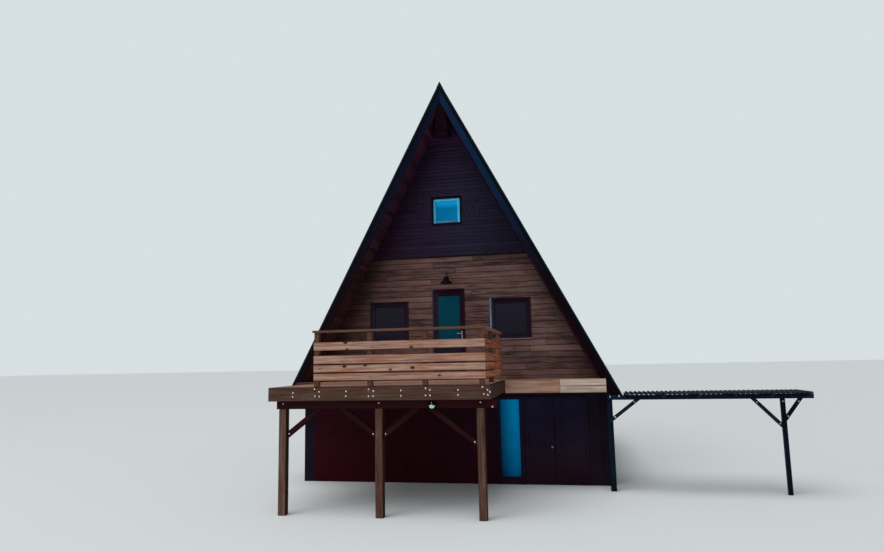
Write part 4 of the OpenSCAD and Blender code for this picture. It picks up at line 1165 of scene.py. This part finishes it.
class CABIN_OT_windows(bpy.types.Operator):
    """Casings, sashes, glazing beads, panes and sills of the windows"""
    bl_idname = "cabin.windows"
    bl_label = "Windows"

    # Depths of each member's face and back below the frame's outer face
    CASING_DEPTHS, SASH_DEPTHS, BEAD_DEPTHS = (0.0, 0.110), (0.022, 0.092), (0.040, 0.0505)

    def execute(self, context):
        s = sizes()
        sash_gap, head_proud = 0.002, 0.030
        frames, heads = Boards("window_joinery", 61), Boards("gable_window_heads", 63)
        cases, sashes = Boards("gable_window_cases", 65), Boards("gable_window_sashes", 62)
        for lo, hi in node_boxes("window_frames"):
            front, gable = lo.y < 0, lo.z > ATTIC_Z
            out = TO_FRONT if front else TO_BACK
            casing, sash = (cases, sashes) if gable else (frames, frames)
            # Only the jamb that turns away from the other window catches the sky
            lit = 1.0 if (lo.x > 0) == front and not gable else 0.03
            case_lo, case_hi = outside_in(lo, hi, *self.CASING_DEPTHS)
            casing.ring(case_lo, case_hi, s.casing_w, out, (lit, 0.03, 0.0, 0.05), head=not gable)
            if gable:
                heads.timber((lo.x, case_lo.y, hi.z - s.casing_w), (hi.x, case_hi.y, hi.z), X, out,
                             tone=0.2)
                y0, y1 = (FRONT_Y - head_proud, FRONT_Y) if front else (BACK_Y, BACK_Y + head_proud)
                heads.timber((lo.x, y0, hi.z + CLEAR), (hi.x, y1, hi.z + s.head_rise), X, out,
                             0.004, 0.9)
            # Gable sashes are pale blue, lightest on the right and top and darkest at the foot: painted
            # sky light
            tones = (0.5, 1.0, 0.9, 0.0) if gable else (0.08, 0.02, 0.02, 0.03)
            sash_box = shrink(*outside_in(lo, hi, *self.SASH_DEPTHS), s.casing_w + sash_gap)
            sash.ring(*sash_box, s.sash_w - sash_gap, out, tones)
            bead = shrink(*outside_in(lo, hi, *self.BEAD_DEPTHS), s.casing_w + s.sash_w)
            sash.ring(*bead, s.bead_w, out, tones, chamfer=0.004)
        for boards, paint in (
            (frames, painted("joinery paint, dark", tint("joinery"), tint("joinery_lit"), 0.42)),
            (cases, painted("joinery paint, blue-black", "#030A18", "#0A1830", 0.42)),
            (sashes, painted("joinery paint, pale blue", "#377197", "#3DBEEB", 0.35, sheen=0.2)),
            (heads, painted("joinery paint, oxide red", "#12020D", "#20030F", 0.45)),
        ):
            boards.done(paint, "dark_frame", "window_frames")
        self.panes()
        timber_piece("window_sills", "window_sill_boards", 64, silvered_larch(), "weathered_siding",
                     0.003, 0.6, 0.9)
        return {"FINISHED"}

    def panes(self):
        """Panes before dark rooms, each with a painted reflection of the sky that it stands under."""
        gable, storey, door = panes_by_place()
        dull, green = tint("storey_glass"), tint("door_glass")
        for name, group, top, bottom, sky in (
            ("gable_panes", gable, tint("gable_glass"), tint("gable_glass_low"), "#1E9AD8"),
            ("storey_panes", storey, dull, shade(dull, 0.7), "#7C7F96"),
            ("terrace_door_pane", door, shade(green, 1.1), shade(green, 0.85), "#2A86A0"),
        ):
            low, high = min(lo.z for lo, hi in group), max(hi.z for lo, hi in group)
            if group is gable:
                # The painted reflection of the bright sky reaches only the top third of these panes
                low = high - (high - low) * 0.36
            glass = float_glass("float glass, " + name.replace("_", " "), top, bottom, low, high, sky)
            place_piece(plain_boxes(group), name, glass, "glazing", "window_glass")


class CABIN_OT_terrace_door(bpy.types.Operator):
    """Frame and leaf of the terrace door with its boarded lower panel and lever handle"""
    bl_idname = "cabin.terrace_door"
    bl_label = "Terrace door"

    def execute(self, context):
        paint = painted("joinery paint, purple-black", tint("joinery"), tint("joinery_lit"), 0.42)
        lo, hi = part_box("terrace_door_frame")
        leaf_lo, leaf_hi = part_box("terrace_door_leaf")
        case = Boards("terrace_door_case", 71)
        # The left jamb takes a little of the lit colour: painted sky light
        case.ring(lo, hi, leaf_lo.x - lo.x - 0.001, TO_FRONT, (0.12, 0.02, 0.0, 0.02), foot=False)
        case.timber((leaf_lo.x, lo.y + 0.02, lo.z), (leaf_hi.x, lo.y + 0.034, lo.z + 0.02), X,
                    TO_FRONT, 0.002, 0.15)
        case.done(paint, "dark_frame", "terrace_door_frame")
        leaf = Boards("terrace_door_joinery", 72)
        self.leaf(leaf, leaf_lo, leaf_hi, *panes_by_place()[2][0])
        leaf.done(paint, "dark_frame", "terrace_door_leaf")
        self.handle(leaf_lo, leaf_hi)
        return {"FINISHED"}

    def leaf(self, leaf, lo, hi, glass_lo, glass_hi):
        """Stiles, rails, beads and upright panel boards."""
        stile = glass_lo.x - lo.x
        x0, x1 = lo.x + stile, hi.x - stile
        rail_z, foot_z = glass_lo.z - 0.10, lo.z + 0.13
        # The left stile and bead take a touch of the lit colour: painted sky light
        leaf.timber(lo, (x0, hi.y, hi.z), Z, TO_FRONT, tone=0.06)
        leaf.timber((x1, lo.y, lo.z), hi, Z, TO_FRONT, tone=0.02)
        for z0, z1, tone in ((glass_hi.z, hi.z, 0.0), (rail_z, glass_lo.z, 0.05),
                             (lo.z + 0.006, foot_z, 0.04)):
            leaf.timber((x0, lo.y, z0), (x1, hi.y, z1), X, TO_FRONT, tone=tone)
        leaf.beads(x0, x1, glass_lo, glass_hi, (0.1, 0.04, 0.0, 0.08))
        set_back = 0.014
        leaf.upright((x0, lo.y + set_back, foot_z), (x1, hi.y - set_back, rail_z), 5, JOINT, 0.003,
                     0.0, 0.08)

    def handle(self, lo, hi):
        """Lever handle on a long plate."""
        metal = Boards("terrace_door_handle", 73)
        from_edge, height, plate_t, half_w = 0.038, 1.05, 0.006, 0.018
        x, face, z = hi.x - from_edge, lo.y, lo.z + height
        metal.timber((x - half_w, face - plate_t, z - 0.13), (x + half_w, face, z + 0.06), Z, TO_FRONT,
                     0.002, 0.5)
        neck = ((0, 0), (0.011, 0), (0.011, 0.004), (0.0085, 0.006), (0.0085, 0.046), (0, 0.046))
        lever = ((0, -0.010), (0.0085, -0.008), (0.009, 0.0), (0.0085, 0.03), (0.0078, 0.105),
                 (0.0065, 0.112), (0, 0.115))
        lock = ((0, 0.003), (0.007, 0.003), (0.008, 0.002), (0.008, 0), (0, 0))
        revolve(neck, 20, facing((x, face - 0.005, z)), metal.bm)
        revolve(lever, 20, facing((x, face - 0.043, z), LEFT), metal.bm)
        revolve(lock, 16, facing((x, face - plate_t, z - 0.09)), metal.bm)
        metal.done(zinc_coated("steel, satin nickel plated", "#9DA0A4"), "steel")


class CABIN_OT_basement(bpy.types.Operator):
    """Render on the basement, its slab, the entrance frame, the glass and the pair of doors"""
    bl_idname = "cabin.basement"
    bl_label = "Basement"

    def execute(self, context):
        dress(render_coat("mineral render, painted near-black", tint("render"), tint("render")),
              "basement_side_walls", "basement_back_wall")
        # The front coat is the terrace's shade painted in: redder to the left, under the terrace
        dress(render_coat("mineral render, in the terrace's shade", tint("render_front"),
                          tint("render_shade_left")), "basement_front_wall", "basement_lintel")
        dress(concrete("concrete, floated"), "basement_floor")
        self.entrance()
        self.leaf("door_left", "door_leaf_left", 82)
        self.leaf("door_right", "door_leaf_right", 83)
        dress(zinc_coated("steel, brushed", "#85868C"), "door_knob")
        return {"FINISHED"}

    def door_paint(self):
        """Near-black paint of the doors and their frame, redder towards the ground: the red cast of
        shade painted into the colour.
        """
        return painted("joinery paint, near-black", tint("doors"), tint("doors_lit"), 0.55,
                       foot=tint("doors_foot"), span=(0.2, 1.8))

    def entrance(self):
        """Posts, mullion, head and sill of the frame, beads of the sidelight, and its hinge halves."""
        lo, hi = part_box("entrance_frame")
        glass_lo, glass_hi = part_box("sidelight_glass")
        left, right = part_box("door_leaf_left")[0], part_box("door_leaf_right")[1]
        face = left.y + 2 * KNUCKLE_R + 0.001
        axis_0, axis_1 = left.x + KNUCKLE_R, right.x - KNUCKLE_R
        door_x0, door_x1 = axis_0 - LEAF_GAP / 2, axis_1 + LEAF_GAP / 2
        frame_x1 = door_x1 + (glass_lo.x - lo.x)
        paint = Boards("entrance_joinery", 81)
        for x0, x1, tone in ((lo.x, glass_lo.x, 0.3), (glass_hi.x, door_x0, 0.5),
                             (door_x1, frame_x1, 0.5)):
            paint.timber((x0, face, 0.0), (x1, hi.y, glass_hi.z), Z, TO_FRONT, 0.002, tone)
        paint.timber((lo.x, face, glass_hi.z + HAIRLINE), (frame_x1, hi.y, hi.z), X, TO_FRONT,
                     0.002, 0.1)
        # The board under the sidelight, and the sill on it
        sill_z = glass_lo.z - 0.03
        paint.timber((glass_lo.x, face + 0.012, 0.0), (glass_hi.x, hi.y, sill_z), X, TO_FRONT,
                     0.002, 0.3)
        paint.timber((glass_lo.x, face - 0.001, sill_z + CLEAR),
                     (glass_hi.x, hi.y, glass_lo.z - HAIRLINE), X, TO_TOP, tone=0.8)
        paint.beads(glass_lo.x, glass_hi.x, glass_lo, glass_hi, (0.5, 0.9, 0.1, 0.5))
        paint.done(self.door_paint(), "dark_frame", "entrance_frame")
        # The terrace's corner stands before the left half of this pane: its shadow is painted into
        # the glass, darkest at the left, and the rest is a little lighter.
        shadow_end = (glass_lo.x + 2 * glass_hi.x) / 3
        dress(float_glass("float glass, sidelight", tint("side_glass"), tint("side_glass_low"),
                          glass_lo.z, glass_hi.z, "#1E86C8",
                          ((X, glass_lo.x, shadow_end, (0.2, 0.22, 0.25), (1.15, 1.0, 1.05)),)),
              "sidelight_glass")
        hinges = Boards("frame_hinges", 84)
        for z in HINGE_ZS:
            hinge_half(hinges, axis_0, face, z, -1)
            hinge_half(hinges, axis_1, face, z, 1)
        hinges.done(painted_steel(), "steel")

    def leaf(self, body, node, seed):
        """Upright tongued boards on three ledges and two braces, with the leaf's hinge halves."""
        lo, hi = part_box(node)
        right = body == "door_right"
        axis = hi.x - KNUCKLE_R if right else lo.x + KNUCKLE_R
        x0, x1 = (lo.x, axis - LEAF_GAP / 2) if right else (axis + LEAF_GAP / 2, hi.x)
        face, back = lo.y + 2 * KNUCKLE_R + 0.001, hi.y
        ledge_w, brace_w, ledge_in, brace_in, from_end, board_t = 0.14, 0.13, 0.03, 0.05, 0.12, 0.027
        boards_back = face + board_t
        boards = Boards(node + "_boards", seed)
        boards.upright((x0, face, lo.z), (x1, boards_back, hi.z), 6, 0.0012, 0.0018, 0.2, 0.8)
        ledge_zs = (lo.z + from_end, (lo.z + hi.z - ledge_w) / 2, hi.z - from_end - ledge_w)
        for z in ledge_zs:
            boards.timber((x0 + ledge_in, boards_back + HAIRLINE, z),
                          (x1 - ledge_in, back, z + ledge_w), X, TO_BACK,
                          tone=boards.draw.uniform(0.2, 0.8))
        ends = (x0 + brace_in, x1 - brace_in)
        hinge_x, free_x = reversed(ends) if right else ends
        for z0, z1 in zip(ledge_zs, ledge_zs[1:]):
            boards.lay(slanting(hinge_x, free_x, z0 + ledge_w, z1, brace_w),
                       lambda a, c, d: Vector((a, back - d, c)), back - boards_back - HAIRLINE,
                       tone=0.4)
        boards.done(self.door_paint(), "door_board", node, body=body)
        hinges = Boards(node + "_hinges", seed + 4)
        for z in HINGE_ZS:
            hinge_half(hinges, axis, face, z + HINGE_H + HAIRLINE, -1 if right else 1)
        hinges.done(painted_steel(), "steel", body=body)


def painted_steel():
    """Hinges painted over with the doors' paint, the plates a little lighter than the knuckles and
    screws.
    """
    return painted("steel, painted black", tint("doors"), "#2A272E", 0.4)


def hinge_half(metal, axis_x, face, z0, side):
    """A knuckle on the hinge's axis and its plate on the face towards side, with three screws."""
    r, height, plate_w, plate_t = KNUCKLE_R, HINGE_H, 0.060, 0.003
    knuckle = ((0, 0), (r - 0.001, 0), (r, 0.001), (r, height - 0.001), (r - 0.001, height), (0, height))
    revolve(knuckle, 20, Matrix.Translation((axis_x, face - r - 0.001, z0)), metal.bm)
    x0, x1 = sorted((axis_x, axis_x + side * plate_w))
    metal.timber((x0, face - plate_t, z0 + CLEAR), (x1, face - 0.0001, z0 + height - CLEAR), Z,
                 TO_FRONT, 0.0006, 0.3)
    screw = ((0, 0.0004), (0.002, 0.0002), (0.0024, 0.0009), (0.0042, 0.0006), (0.0042, 0), (0, 0))
    for reach, z in ((0.022, 0.012), (0.05, 0.0275), (0.022, 0.043)):
        revolve(screw, 10, facing((axis_x + side * reach, face - plate_t, z0 + z)), metal.bm)


class CABIN_OT_terrace_floor(bpy.types.Operator):
    """Terrace boards with gaps, cut round the roof, and their screws"""
    bl_idname = "cabin.terrace_floor"
    bl_label = "Terrace floor"

    def execute(self, context):
        s = sizes()
        lo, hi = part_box("deck_boards")
        walkway, _, left, right, _ = node_boxes("deck_edge")
        front_y, x0, x1 = walkway[1].y, left[1].x, right[0].x
        # What is cut away reaches a metre past the boards
        past = Vector((1, 1, 1))
        low, high = lo - past, hi + past
        wall_gap, roof_gap, verge_gap, narrowest = 0.004, 0.012, 0.010, 0.03
        outside = [((x1, low.y, low.z), (high.x, front_y, high.z)), (low, (x0, front_y, high.z))]
        for side in (1, -1):
            sides = sorted((side * (inner_x(FLOOR_Z) - roof_gap), side * high.x))
            outside.append(((sides[0], VERGE_Y - verge_gap, low.z), (sides[1], high.y, high.z)))
        boards = Boards("terrace_boards", 91)
        rows, y = [], hi.y - wall_gap
        while y > lo.y + narrowest:
            rows.append((max(lo.y, y - s.deck_board_w), y))
            y -= s.deck_board_w + s.deck_gap
        for y0, y1 in rows:
            span = (lo.x, hi.x) if y1 > front_y else (x0 - 0.001, x1 + 0.001)
            for a, b in split_run(boards.draw, *span, 1.4, 3.6):
                boards.timber((a, y0, lo.z), (b - JOINT, y1, hi.z), X, TO_TOP)
        boards.done(terrace_timber(), "terrace_board", "deck_boards", cut=outside)
        self.screws(rows, outside, hi.z)
        return {"FINISHED"}

    def screws(self, rows, outside, top):
        """Two screws where each board lies on a joist."""
        places, from_edge, narrow = [], 0.028, 0.1
        for lo, hi in node_boxes("deck_joists"):
            # A ledger runs along the boards and takes none
            if hi.x - lo.x > 1:
                continue
            x = (lo.x + hi.x) / 2
            for y0, y1 in rows:
                for y in (y0 + from_edge, y1 - from_edge):
                    cut_away = any(a[0] < x < b[0] and a[1] < y < b[1] for a, b in outside)
                    if y >= lo.y and y1 - y0 >= narrow and not cut_away:
                        places.append(facing((x, y, top), UP))
        screws("terrace_floor_screws", places)


class CABIN_OT_terrace_frame(bpy.types.Operator):
    """Edge boards, joists, beam, posts and braces of the terrace, with their bolts"""
    bl_idname = "cabin.terrace_frame"
    bl_label = "Terrace frame"

    # Bolt heads on the front edge board: X, and depth below the terrace's top. One pair holds
    # each joist's end and one pair each railing post, with three more at the corner.
    BOLTS = ((-2.312, 0.097), (-2.318, 0.168), (-1.895, 0.039), (-1.888, 0.164), (-1.807, 0.085),
             (-1.801, 0.170), (-1.293, 0.080), (-1.297, 0.167), (-0.869, 0.051), (-0.870, 0.174),
             (-0.780, 0.080), (-0.783, 0.170), (-0.272, 0.076), (-0.270, 0.171), (0.177, 0.045),
             (0.175, 0.167), (0.257, 0.072), (0.256, 0.168), (0.757, 0.078), (0.755, 0.164),
             (1.188, 0.032), (1.274, 0.084), (1.211, 0.152), (1.280, 0.169), (1.316, 0.119))

    def execute(self, context):
        self.edges()
        for node, name, seed, timber in (
            ("deck_joists", "terrace_joists", 102, deep_shade_timber()),
            ("deck_girder", "terrace_girder", 103, deep_shade_timber()),
            ("deck_posts", "terrace_posts", 104, shaded_timber()),
            ("deck_braces", "terrace_braces", 105, deep_shade_timber()),
        ):
            timber_piece(node, name, seed, timber, "terrace_board", 0.005, 0.3, 0.7)
        self.bolts()
        return {"FINISHED"}

    def edges(self):
        """Dark boards round the terrace, and the walkway's edge in one wide board and two new ones."""
        left, front, side_left, side_right, (lo, hi) = node_boxes("deck_edge")
        dark = Boards("terrace_edge_boards", 101)
        dark.timber(*front, X, TO_FRONT, 0.004, 0.5)
        dark.timber(*side_left, Y, TO_LEFT, 0.004, 0.5)
        dark.timber(*side_right, Y, TO_RIGHT, 0.004, 0.35)
        dark.timber(*left, X, TO_FRONT, 0.004, 0.45)
        # Painted shade: the edge boards at a quarter of the terrace timber's lightness
        dark.done(shaded_timber("spruce, sawn, edge boards", 0.24), "terrace_board", "deck_edge")
        joint, middle = lo.x + (hi.x - lo.x) * 0.549, (lo.z + hi.z) / 2
        brown = Boards("walkway_edge_board", 106)
        brown.timber(lo, (joint - 0.002, hi.y, hi.z), X, TO_FRONT, 0.004, 0.85)
        brown.done(terrace_timber(), "terrace_board", "deck_edge")
        new = Boards("walkway_new_boards", 107)
        for z0, z1, tone in ((lo.z, middle - 0.002, 0.6), (middle + 0.002, hi.z, 0.9)):
            new.timber((joint + 0.002, lo.y, z0), (hi.x, hi.y, z1), X, TO_FRONT, 0.004, tone)
        new.done(new_timber(), "terrace_board", "deck_edge")
        screws("walkway_edge_screws",
               [facing((x, lo.y, z)) for x in (lo.x + 0.06, joint - 0.04, joint + 0.04, hi.x - 0.05)
                for z in (lo.z + 0.05, lo.z + 0.10, hi.z - 0.10, hi.z - 0.05)])

    def bolts(self):
        """Domed bolts on big washers through the edge board, the beam and the braces' feet, at the
        places that the photo shows."""
        s = sizes()
        edge_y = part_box("deck_edge")[0].y
        beam_lo, beam_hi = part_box("deck_girder")
        posts = node_boxes("deck_posts")
        spots = [(x, edge_y, FLOOR_Z - drop) for x, drop in self.BOLTS]
        spots += [((lo.x + hi.x) / 2 + 0.006, beam_lo.y, beam_hi.z - 0.047) for lo, hi in posts]
        spots.append((beam_hi.x - 0.067, beam_lo.y, beam_lo.z + 0.022))
        sides = [corner.x for box in posts for corner in box]
        for lo, hi in node_boxes("deck_braces"):
            at_left = min(abs(lo.x - x) for x in sides) < 0.02
            spots.append((lo.x + 0.045 if at_left else hi.x - 0.045, lo.y, lo.z + 0.095))
        profile = domed(s.bolt_r, 0.010, 0.0028) + [
            (s.washer_r - 0.001, 0.0028), (s.washer_r, 0.0018), (s.washer_r, 0.0), (0, 0.0)]
        turned_piece("terrace_bolts", profile, 20, map(facing, spots), bright_zinc(), "steel")


class CABIN_OT_railing(bpy.types.Operator):
    """Posts, boards and top board of the railing, with their screws"""
    bl_idname = "cabin.railing"
    bl_label = "Railing"

    def execute(self, context):
        for node, name, seed, low, high in (("railing_posts", "railing_timber_posts", 111, 0.0, 0.25),
                                            ("railing_cap", "railing_top_board", 113, 0.4, 0.7)):
            timber_piece(node, name, seed, terrace_timber(), "terrace_board", 0.004, low, high)
        front, side = Boards("railing_front_boards", 112), Boards("railing_side_boards", 115)
        for lo, hi in node_boxes("railing_boards"):
            if hi.x - lo.x > 1:
                front.timber(lo, hi, X, TO_FRONT, 0.004, front.draw.uniform(0.5, 0.8))
            else:
                side.timber(lo, hi, Y, TO_RIGHT, 0.004, side.draw.uniform(0.4, 0.75))
        front.done(terrace_timber(), "terrace_board", "railing_boards")
        # Warm sunlight is painted into the side boards' orange colour
        side.done(warm_lit_timber(), "terrace_board", "railing_boards")
        self.screws()
        return {"FINISHED"}

    def screws(self):
        """Two screws where each board crosses a post, which it touches or nearly so."""
        places, from_edge, near = [], 0.032, 0.02
        draw = random.Random(114)
        for lo, hi in node_boxes("railing_boards"):
            along = X if hi.x - lo.x > 1 else Y
            for post_lo, post_hi in node_boxes("railing_posts"):
                gap = post_lo.y - hi.y if along == X else post_hi.x - lo.x
                if abs(gap) > near:
                    continue
                middle = (post_lo[along] + post_hi[along]) / 2
                for z in (lo.z + from_edge, hi.z - from_edge):
                    spot = middle + draw.uniform(-0.012, 0.012)
                    places.append(facing((spot, lo.y, z)) if along == X
                                  else facing((hi.x, spot, z), RIGHT))
        screws("railing_screws", places)


class CABIN_OT_canopy(bpy.types.Operator):
    """Beam, posts, braces, bearers and sheet of the canopy, with the bolts of its joints"""
    bl_idname = "cabin.canopy"
    bl_label = "Canopy"

    def execute(self, context):
        for node, name, seed in (("corner_post", "corner_post_timber", 121),
                                 ("canopy_beam", "canopy_beam_timber", 122),
                                 ("canopy_bearers", "canopy_bearer_timbers", 123),
                                 ("canopy_post", "canopy_post_timber", 124),
                                 ("canopy_braces", "canopy_brace_timbers", 125)):
            timber_piece(node, name, seed, dark_timber(), "dark_timber", 0.004, 0.2, 0.8)
        dress(coated_steel("steel profile, grey coated", "#191E26"), "canopy_roof")
        self.bolts()
        return {"FINISHED"}

    def bolts(self):
        """Domed bolts on washers at the beam's and the braces' joints."""
        beam_lo, beam_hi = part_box("canopy_beam")
        post_lo, post_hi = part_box("canopy_post")
        spots = [(beam_lo.x + 0.06, beam_lo.y, beam_hi.z - 0.03),
                 (beam_lo.x + 0.244, beam_lo.y, beam_hi.z - 0.02),
                 ((post_lo.x + post_hi.x) / 2, post_lo.y, post_hi.z - 0.045)]
        # Each brace has its foot bolt and its head bolt on its middle line, at these distances
        # from its post; the foot is on the left, except in the middle brace
        half_w = 0.035
        reaches = ((1, 0.097, 0.50), (-1, 0.04, 0.44), (1, 0.035, 0.25))
        for (lo, hi), (side, *pair) in zip(node_boxes("canopy_braces"), reaches):
            slant = math.atan2(hi.z - lo.z, hi.x - lo.x)
            for reach in pair:
                x = lo.x + reach if side > 0 else hi.x - reach
                spots.append((x, lo.y, lo.z + half_w / math.cos(slant) + reach * math.tan(slant)))
        profile = domed(0.012, 0.009, 0.002) + [(0.019, 0.002), (0.019, 0), (0, 0)]
        turned_piece("canopy_bolts", profile, 16, map(facing, spots), bright_zinc(), "steel")


class CABIN_OT_lamps(bpy.types.Operator):
    """Enamelled lamp over the terrace door and round lamp on the beam"""
    bl_idname = "cabin.lamps"
    bl_label = "Lamps"

    def execute(self, context):
        lo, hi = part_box("wall_lamp")
        dress(enamel("enamel, black", "#0C0711"), "wall_lamp")
        shade_r = (hi.x - lo.x) / 2
        at = Matrix.Translation((0, lo.y + shade_r, lo.z))
        # The shade is a cup on a flared skirt; the cup's height and the neck's radius follow from
        # the lamp's box, and the lining keeps 1.5 mm off the metal
        cup, neck = (hi.z - lo.z) * 0.604, shade_r * 0.44
        outer = [(0, 0.86), (neck * 0.5 - 0.0015, 0.855), (neck * 0.94 - 0.0075, 0.765),
                 (neck - 0.0075, 0.475), (shade_r * 0.62 - 0.0075, 0.285),
                 (shade_r * 0.85 - 0.0075, 0.125), (shade_r - 0.008, 0.009)]
        inner = [(max(0.0, r - 0.003), h - 0.012 if h > 0.01 else h) for r, h in reversed(outer)]
        bulb = [(0, 0.30), (0.012, 0.31), (0.021, 0.35), (0.024, 0.41), (0.019, 0.50), (0.013, 0.58),
                (0.013, 0.84), (0, 0.84)]
        for name, profile, steps, material, slot in (
            ("lamp_lining", outer + inner, 40, enamel("enamel, dark grey", "#1A1418"), "lamp_metal"),
            ("lamp_bulb", bulb, 24, opal_glass("opal glass, pressed"), "lamp_lens"),
        ):
            turned_piece(name, [(r, h * cup) for r, h in profile], steps, [at], material, slot)
        self.round_lamp()
        return {"FINISHED"}

    def round_lamp(self):
        """Dark ring round a ribbed opal lens, with a hood over its upper half."""
        lo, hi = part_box("round_lamp")
        radius, depth = (hi.x - lo.x) / 2, hi.y - lo.y
        at = facing(((lo.x + hi.x) / 2, hi.y, (lo.z + hi.z) / 2))
        black = enamel("aluminium, black coated", "#06090E", 0.04)
        ring = [(radius * r, depth * d) for r, d in (
            (0.7, 0), (1, 0), (1, 0.38), (0.97, 0.48), (0.86, 0.60), (0.78, 0.60), (0.74, 0.45),
            (0.7, 0.45), (0.7, 0))]
        turned_piece("round_lamp_ring", ring, 48, [at], black, "lamp_metal", "round_lamp")
        section = [(radius * r, depth * d) for r, d in (
            (0.84, 0.58), (0.78, 0.82), (0.60, 0.96), (0.30, 0.995), (0.30, 0.96), (0.58, 0.92),
            (0.75, 0.78), (0.80, 0.56))]
        hood, rings, steps = bmesh.new(), [], 28
        for i in range(steps + 1):
            turn = at @ Matrix.Rotation(math.radians(4 + 172 * i / steps), 4, "Z")
            rings.append([hood.verts.new(turn @ Vector((r, 0, d))) for r, d in section])
        skin(hood, rings)
        place_piece(hood, "round_lamp_hood", black, "lamp_metal", "round_lamp")
        screw = ((0, 0.004), (0.006, 0.0034), (0.009, 0.001), (0.009, -0.004), (0, -0.004))
        on_hood = at @ Matrix.Translation((0, radius * 0.66, depth * 0.90))
        turned_piece("round_lamp_screw", screw, 16, [on_hood], bright_zinc(), "steel")
        lens, ribs = [(0, depth * 0.98)], 7
        for i in range(1, ribs * 2):
            share = i / (ribs * 2)
            fall = depth * (0.98 - 0.42 * share ** 2.2)
            lens.append((radius * 0.73 * share, fall + (0.0009 if i % 2 else -0.0009)))
        lens += [(radius * 0.735, depth * 0.5), (radius * 0.735, depth * 0.3), (0, depth * 0.3)]
        turned_piece("round_lamp_lens", lens, 48, [at], opal_glass("opal glass, pressed"), "lamp_lens",
                     "round_lamp")


class CABIN_OT_shell(bpy.types.Operator):
    """Finishes of the walls and floors behind the boards"""
    bl_idname = "cabin.shell"
    bl_label = "Shell"

    def execute(self, context):
        dress(lining("spruce lining, planed"), "floors", "front_wall_left", "front_wall_right",
              "front_wall_head", "front_gable_wall", "back_wall", "back_gable_wall")
        return {"FINISHED"}


class CABIN_OT_stage(bpy.types.Operator):
    """Pale floor, soft light and the camera at the photograph's place"""
    bl_idname = "cabin.stage"
    bl_label = "Stage"

    def execute(self, context):
        context.scene.view_settings.view_transform = "Standard"
        self.floor()
        self.lights()
        self.world()
        self.camera()
        return {"FINISHED"}

    def floor(self):
        """A wide matt floor just under the lowest point."""
        reach, level = 260.0, cad_box[0].z - 0.002
        corners = [(x * reach, y * reach, level) for x, y in ((-1, -1), (1, -1), (1, 1), (-1, 1))]
        mesh = bpy.data.meshes.new("floor")
        mesh.from_pydata(corners, [], [(0, 1, 2, 3)])
        mesh.materials.append(matt_paper("studio floor, matt"))
        floor = link("floor", mesh)

    def lights(self):
        """A wide soft light from above, a little from the front, and a weak fill from the left."""
        overhead = bpy.data.lights.new("overhead", "SUN")
        overhead.energy = 1.75
        overhead.angle = math.radians(55)
        overhead.color = (1.0, 0.985, 0.96)
        fill = bpy.data.lights.new("fill", "AREA")
        fill.shape = "SQUARE"
        fill.size = 19.2
        fill.energy = 2300
        spot = Vector((-21.1, -33.4, 12))
        for data, place, ray in ((overhead, (0, 0, 0), Vector((0.22, 0.42, -1.0))),
                                 (fill, spot, Vector((0.5, -3.0, 4.0)) - spot)):
            light = link(data.name, data)
            light.location = place
            light.rotation_euler = ray.to_track_quat("-Z", "Y").to_euler()

    def world(self):
        """An even surround that lights softly and shows pale behind the cabin."""
        world = bpy.data.worlds.new("studio")
        bpy.context.scene.world = world
        world.use_nodes = True
        tree = world.node_tree
        tree.nodes.clear()
        seen = add(tree, "LightPath").outputs["Is Camera Ray"]
        background = add(tree, "Background", {"Color": "#E6EFF2",
                                              "Strength": ramp(tree, seen, low=0.36, high=0.86)})
        add(tree, "OutputWorld", {"Surface": background.outputs[0]})

    def camera(self):
        """Camera solved from the photograph: place, turn, tilt and roll."""
        yaw, tilt, roll = (math.radians(a) for a in (10.79, 7.695, 1.166))
        ahead = Vector((-math.sin(yaw) * math.cos(tilt), math.cos(yaw) * math.cos(tilt), math.sin(tilt)))
        level = Vector((math.cos(yaw), math.sin(yaw), 0))
        upright = level.cross(ahead)
        right = level * math.cos(roll) - upright * math.sin(roll)
        up = level * math.sin(roll) + upright * math.cos(roll)
        data = bpy.data.cameras.new("camera")
        data.sensor_width = 36.0
        data.sensor_fit = "HORIZONTAL"
        data.lens = 25.78
        data.clip_end = 600.0
        camera = link("camera", data)
        turn = Matrix((right, up, -ahead)).transposed().to_4x4()
        camera.matrix_world = Matrix.Translation((2.621, -18.107, 2.719)) @ turn
        bpy.context.scene.camera = camera


OPERATORS = (
    CABIN_OT_shell, CABIN_OT_siding, CABIN_OT_gables, CABIN_OT_shutters, CABIN_OT_soffits,
    CABIN_OT_verges, CABIN_OT_roof, CABIN_OT_windows, CABIN_OT_terrace_door, CABIN_OT_basement,
    CABIN_OT_terrace_floor, CABIN_OT_terrace_frame, CABIN_OT_railing, CABIN_OT_canopy,
    CABIN_OT_lamps, CABIN_OT_stage,
)


class CABIN_PT_panel(bpy.types.Panel):
    """Lists the cabin's operators, sizes and colours"""
    bl_idname = "CABIN_PT_panel"
    bl_label = "A-frame cabin"
    bl_space_type = "VIEW_3D"
    bl_region_type = "UI"
    bl_category = "Cabin"

    def draw(self, context):
        for operator in OPERATORS:
            self.layout.operator(operator.bl_idname)
        for group in (context.scene.cabin_sizes, context.scene.cabin_colours):
            column = self.layout.column()
            for key in group.bl_rna.properties.keys():
                if key not in ("rna_type", "name"):
                    column.prop(group, key)


CLASSES = (CabinSizes, CabinColours) + OPERATORS + (CABIN_PT_panel,)


def register():
    """Registers the classes and their settings."""
    for cls in CLASSES:
        bpy.utils.register_class(cls)
    bpy.types.Scene.cabin_sizes = PointerProperty(type=CabinSizes)
    bpy.types.Scene.cabin_colours = PointerProperty(type=CabinColours)


def unregister():
    """Removes the classes and their settings."""
    del bpy.types.Scene.cabin_sizes
    del bpy.types.Scene.cabin_colours
    for cls in reversed(CLASSES):
        bpy.utils.unregister_class(cls)


def main():
    register()
    for operator in OPERATORS:
        group, name = operator.bl_idname.split(".")
        result = getattr(getattr(bpy.ops, group), name)()
        if result != {"FINISHED"}:
            raise RuntimeError(operator.bl_idname + " didn't finish")


if __name__ == "__main__":
    main()
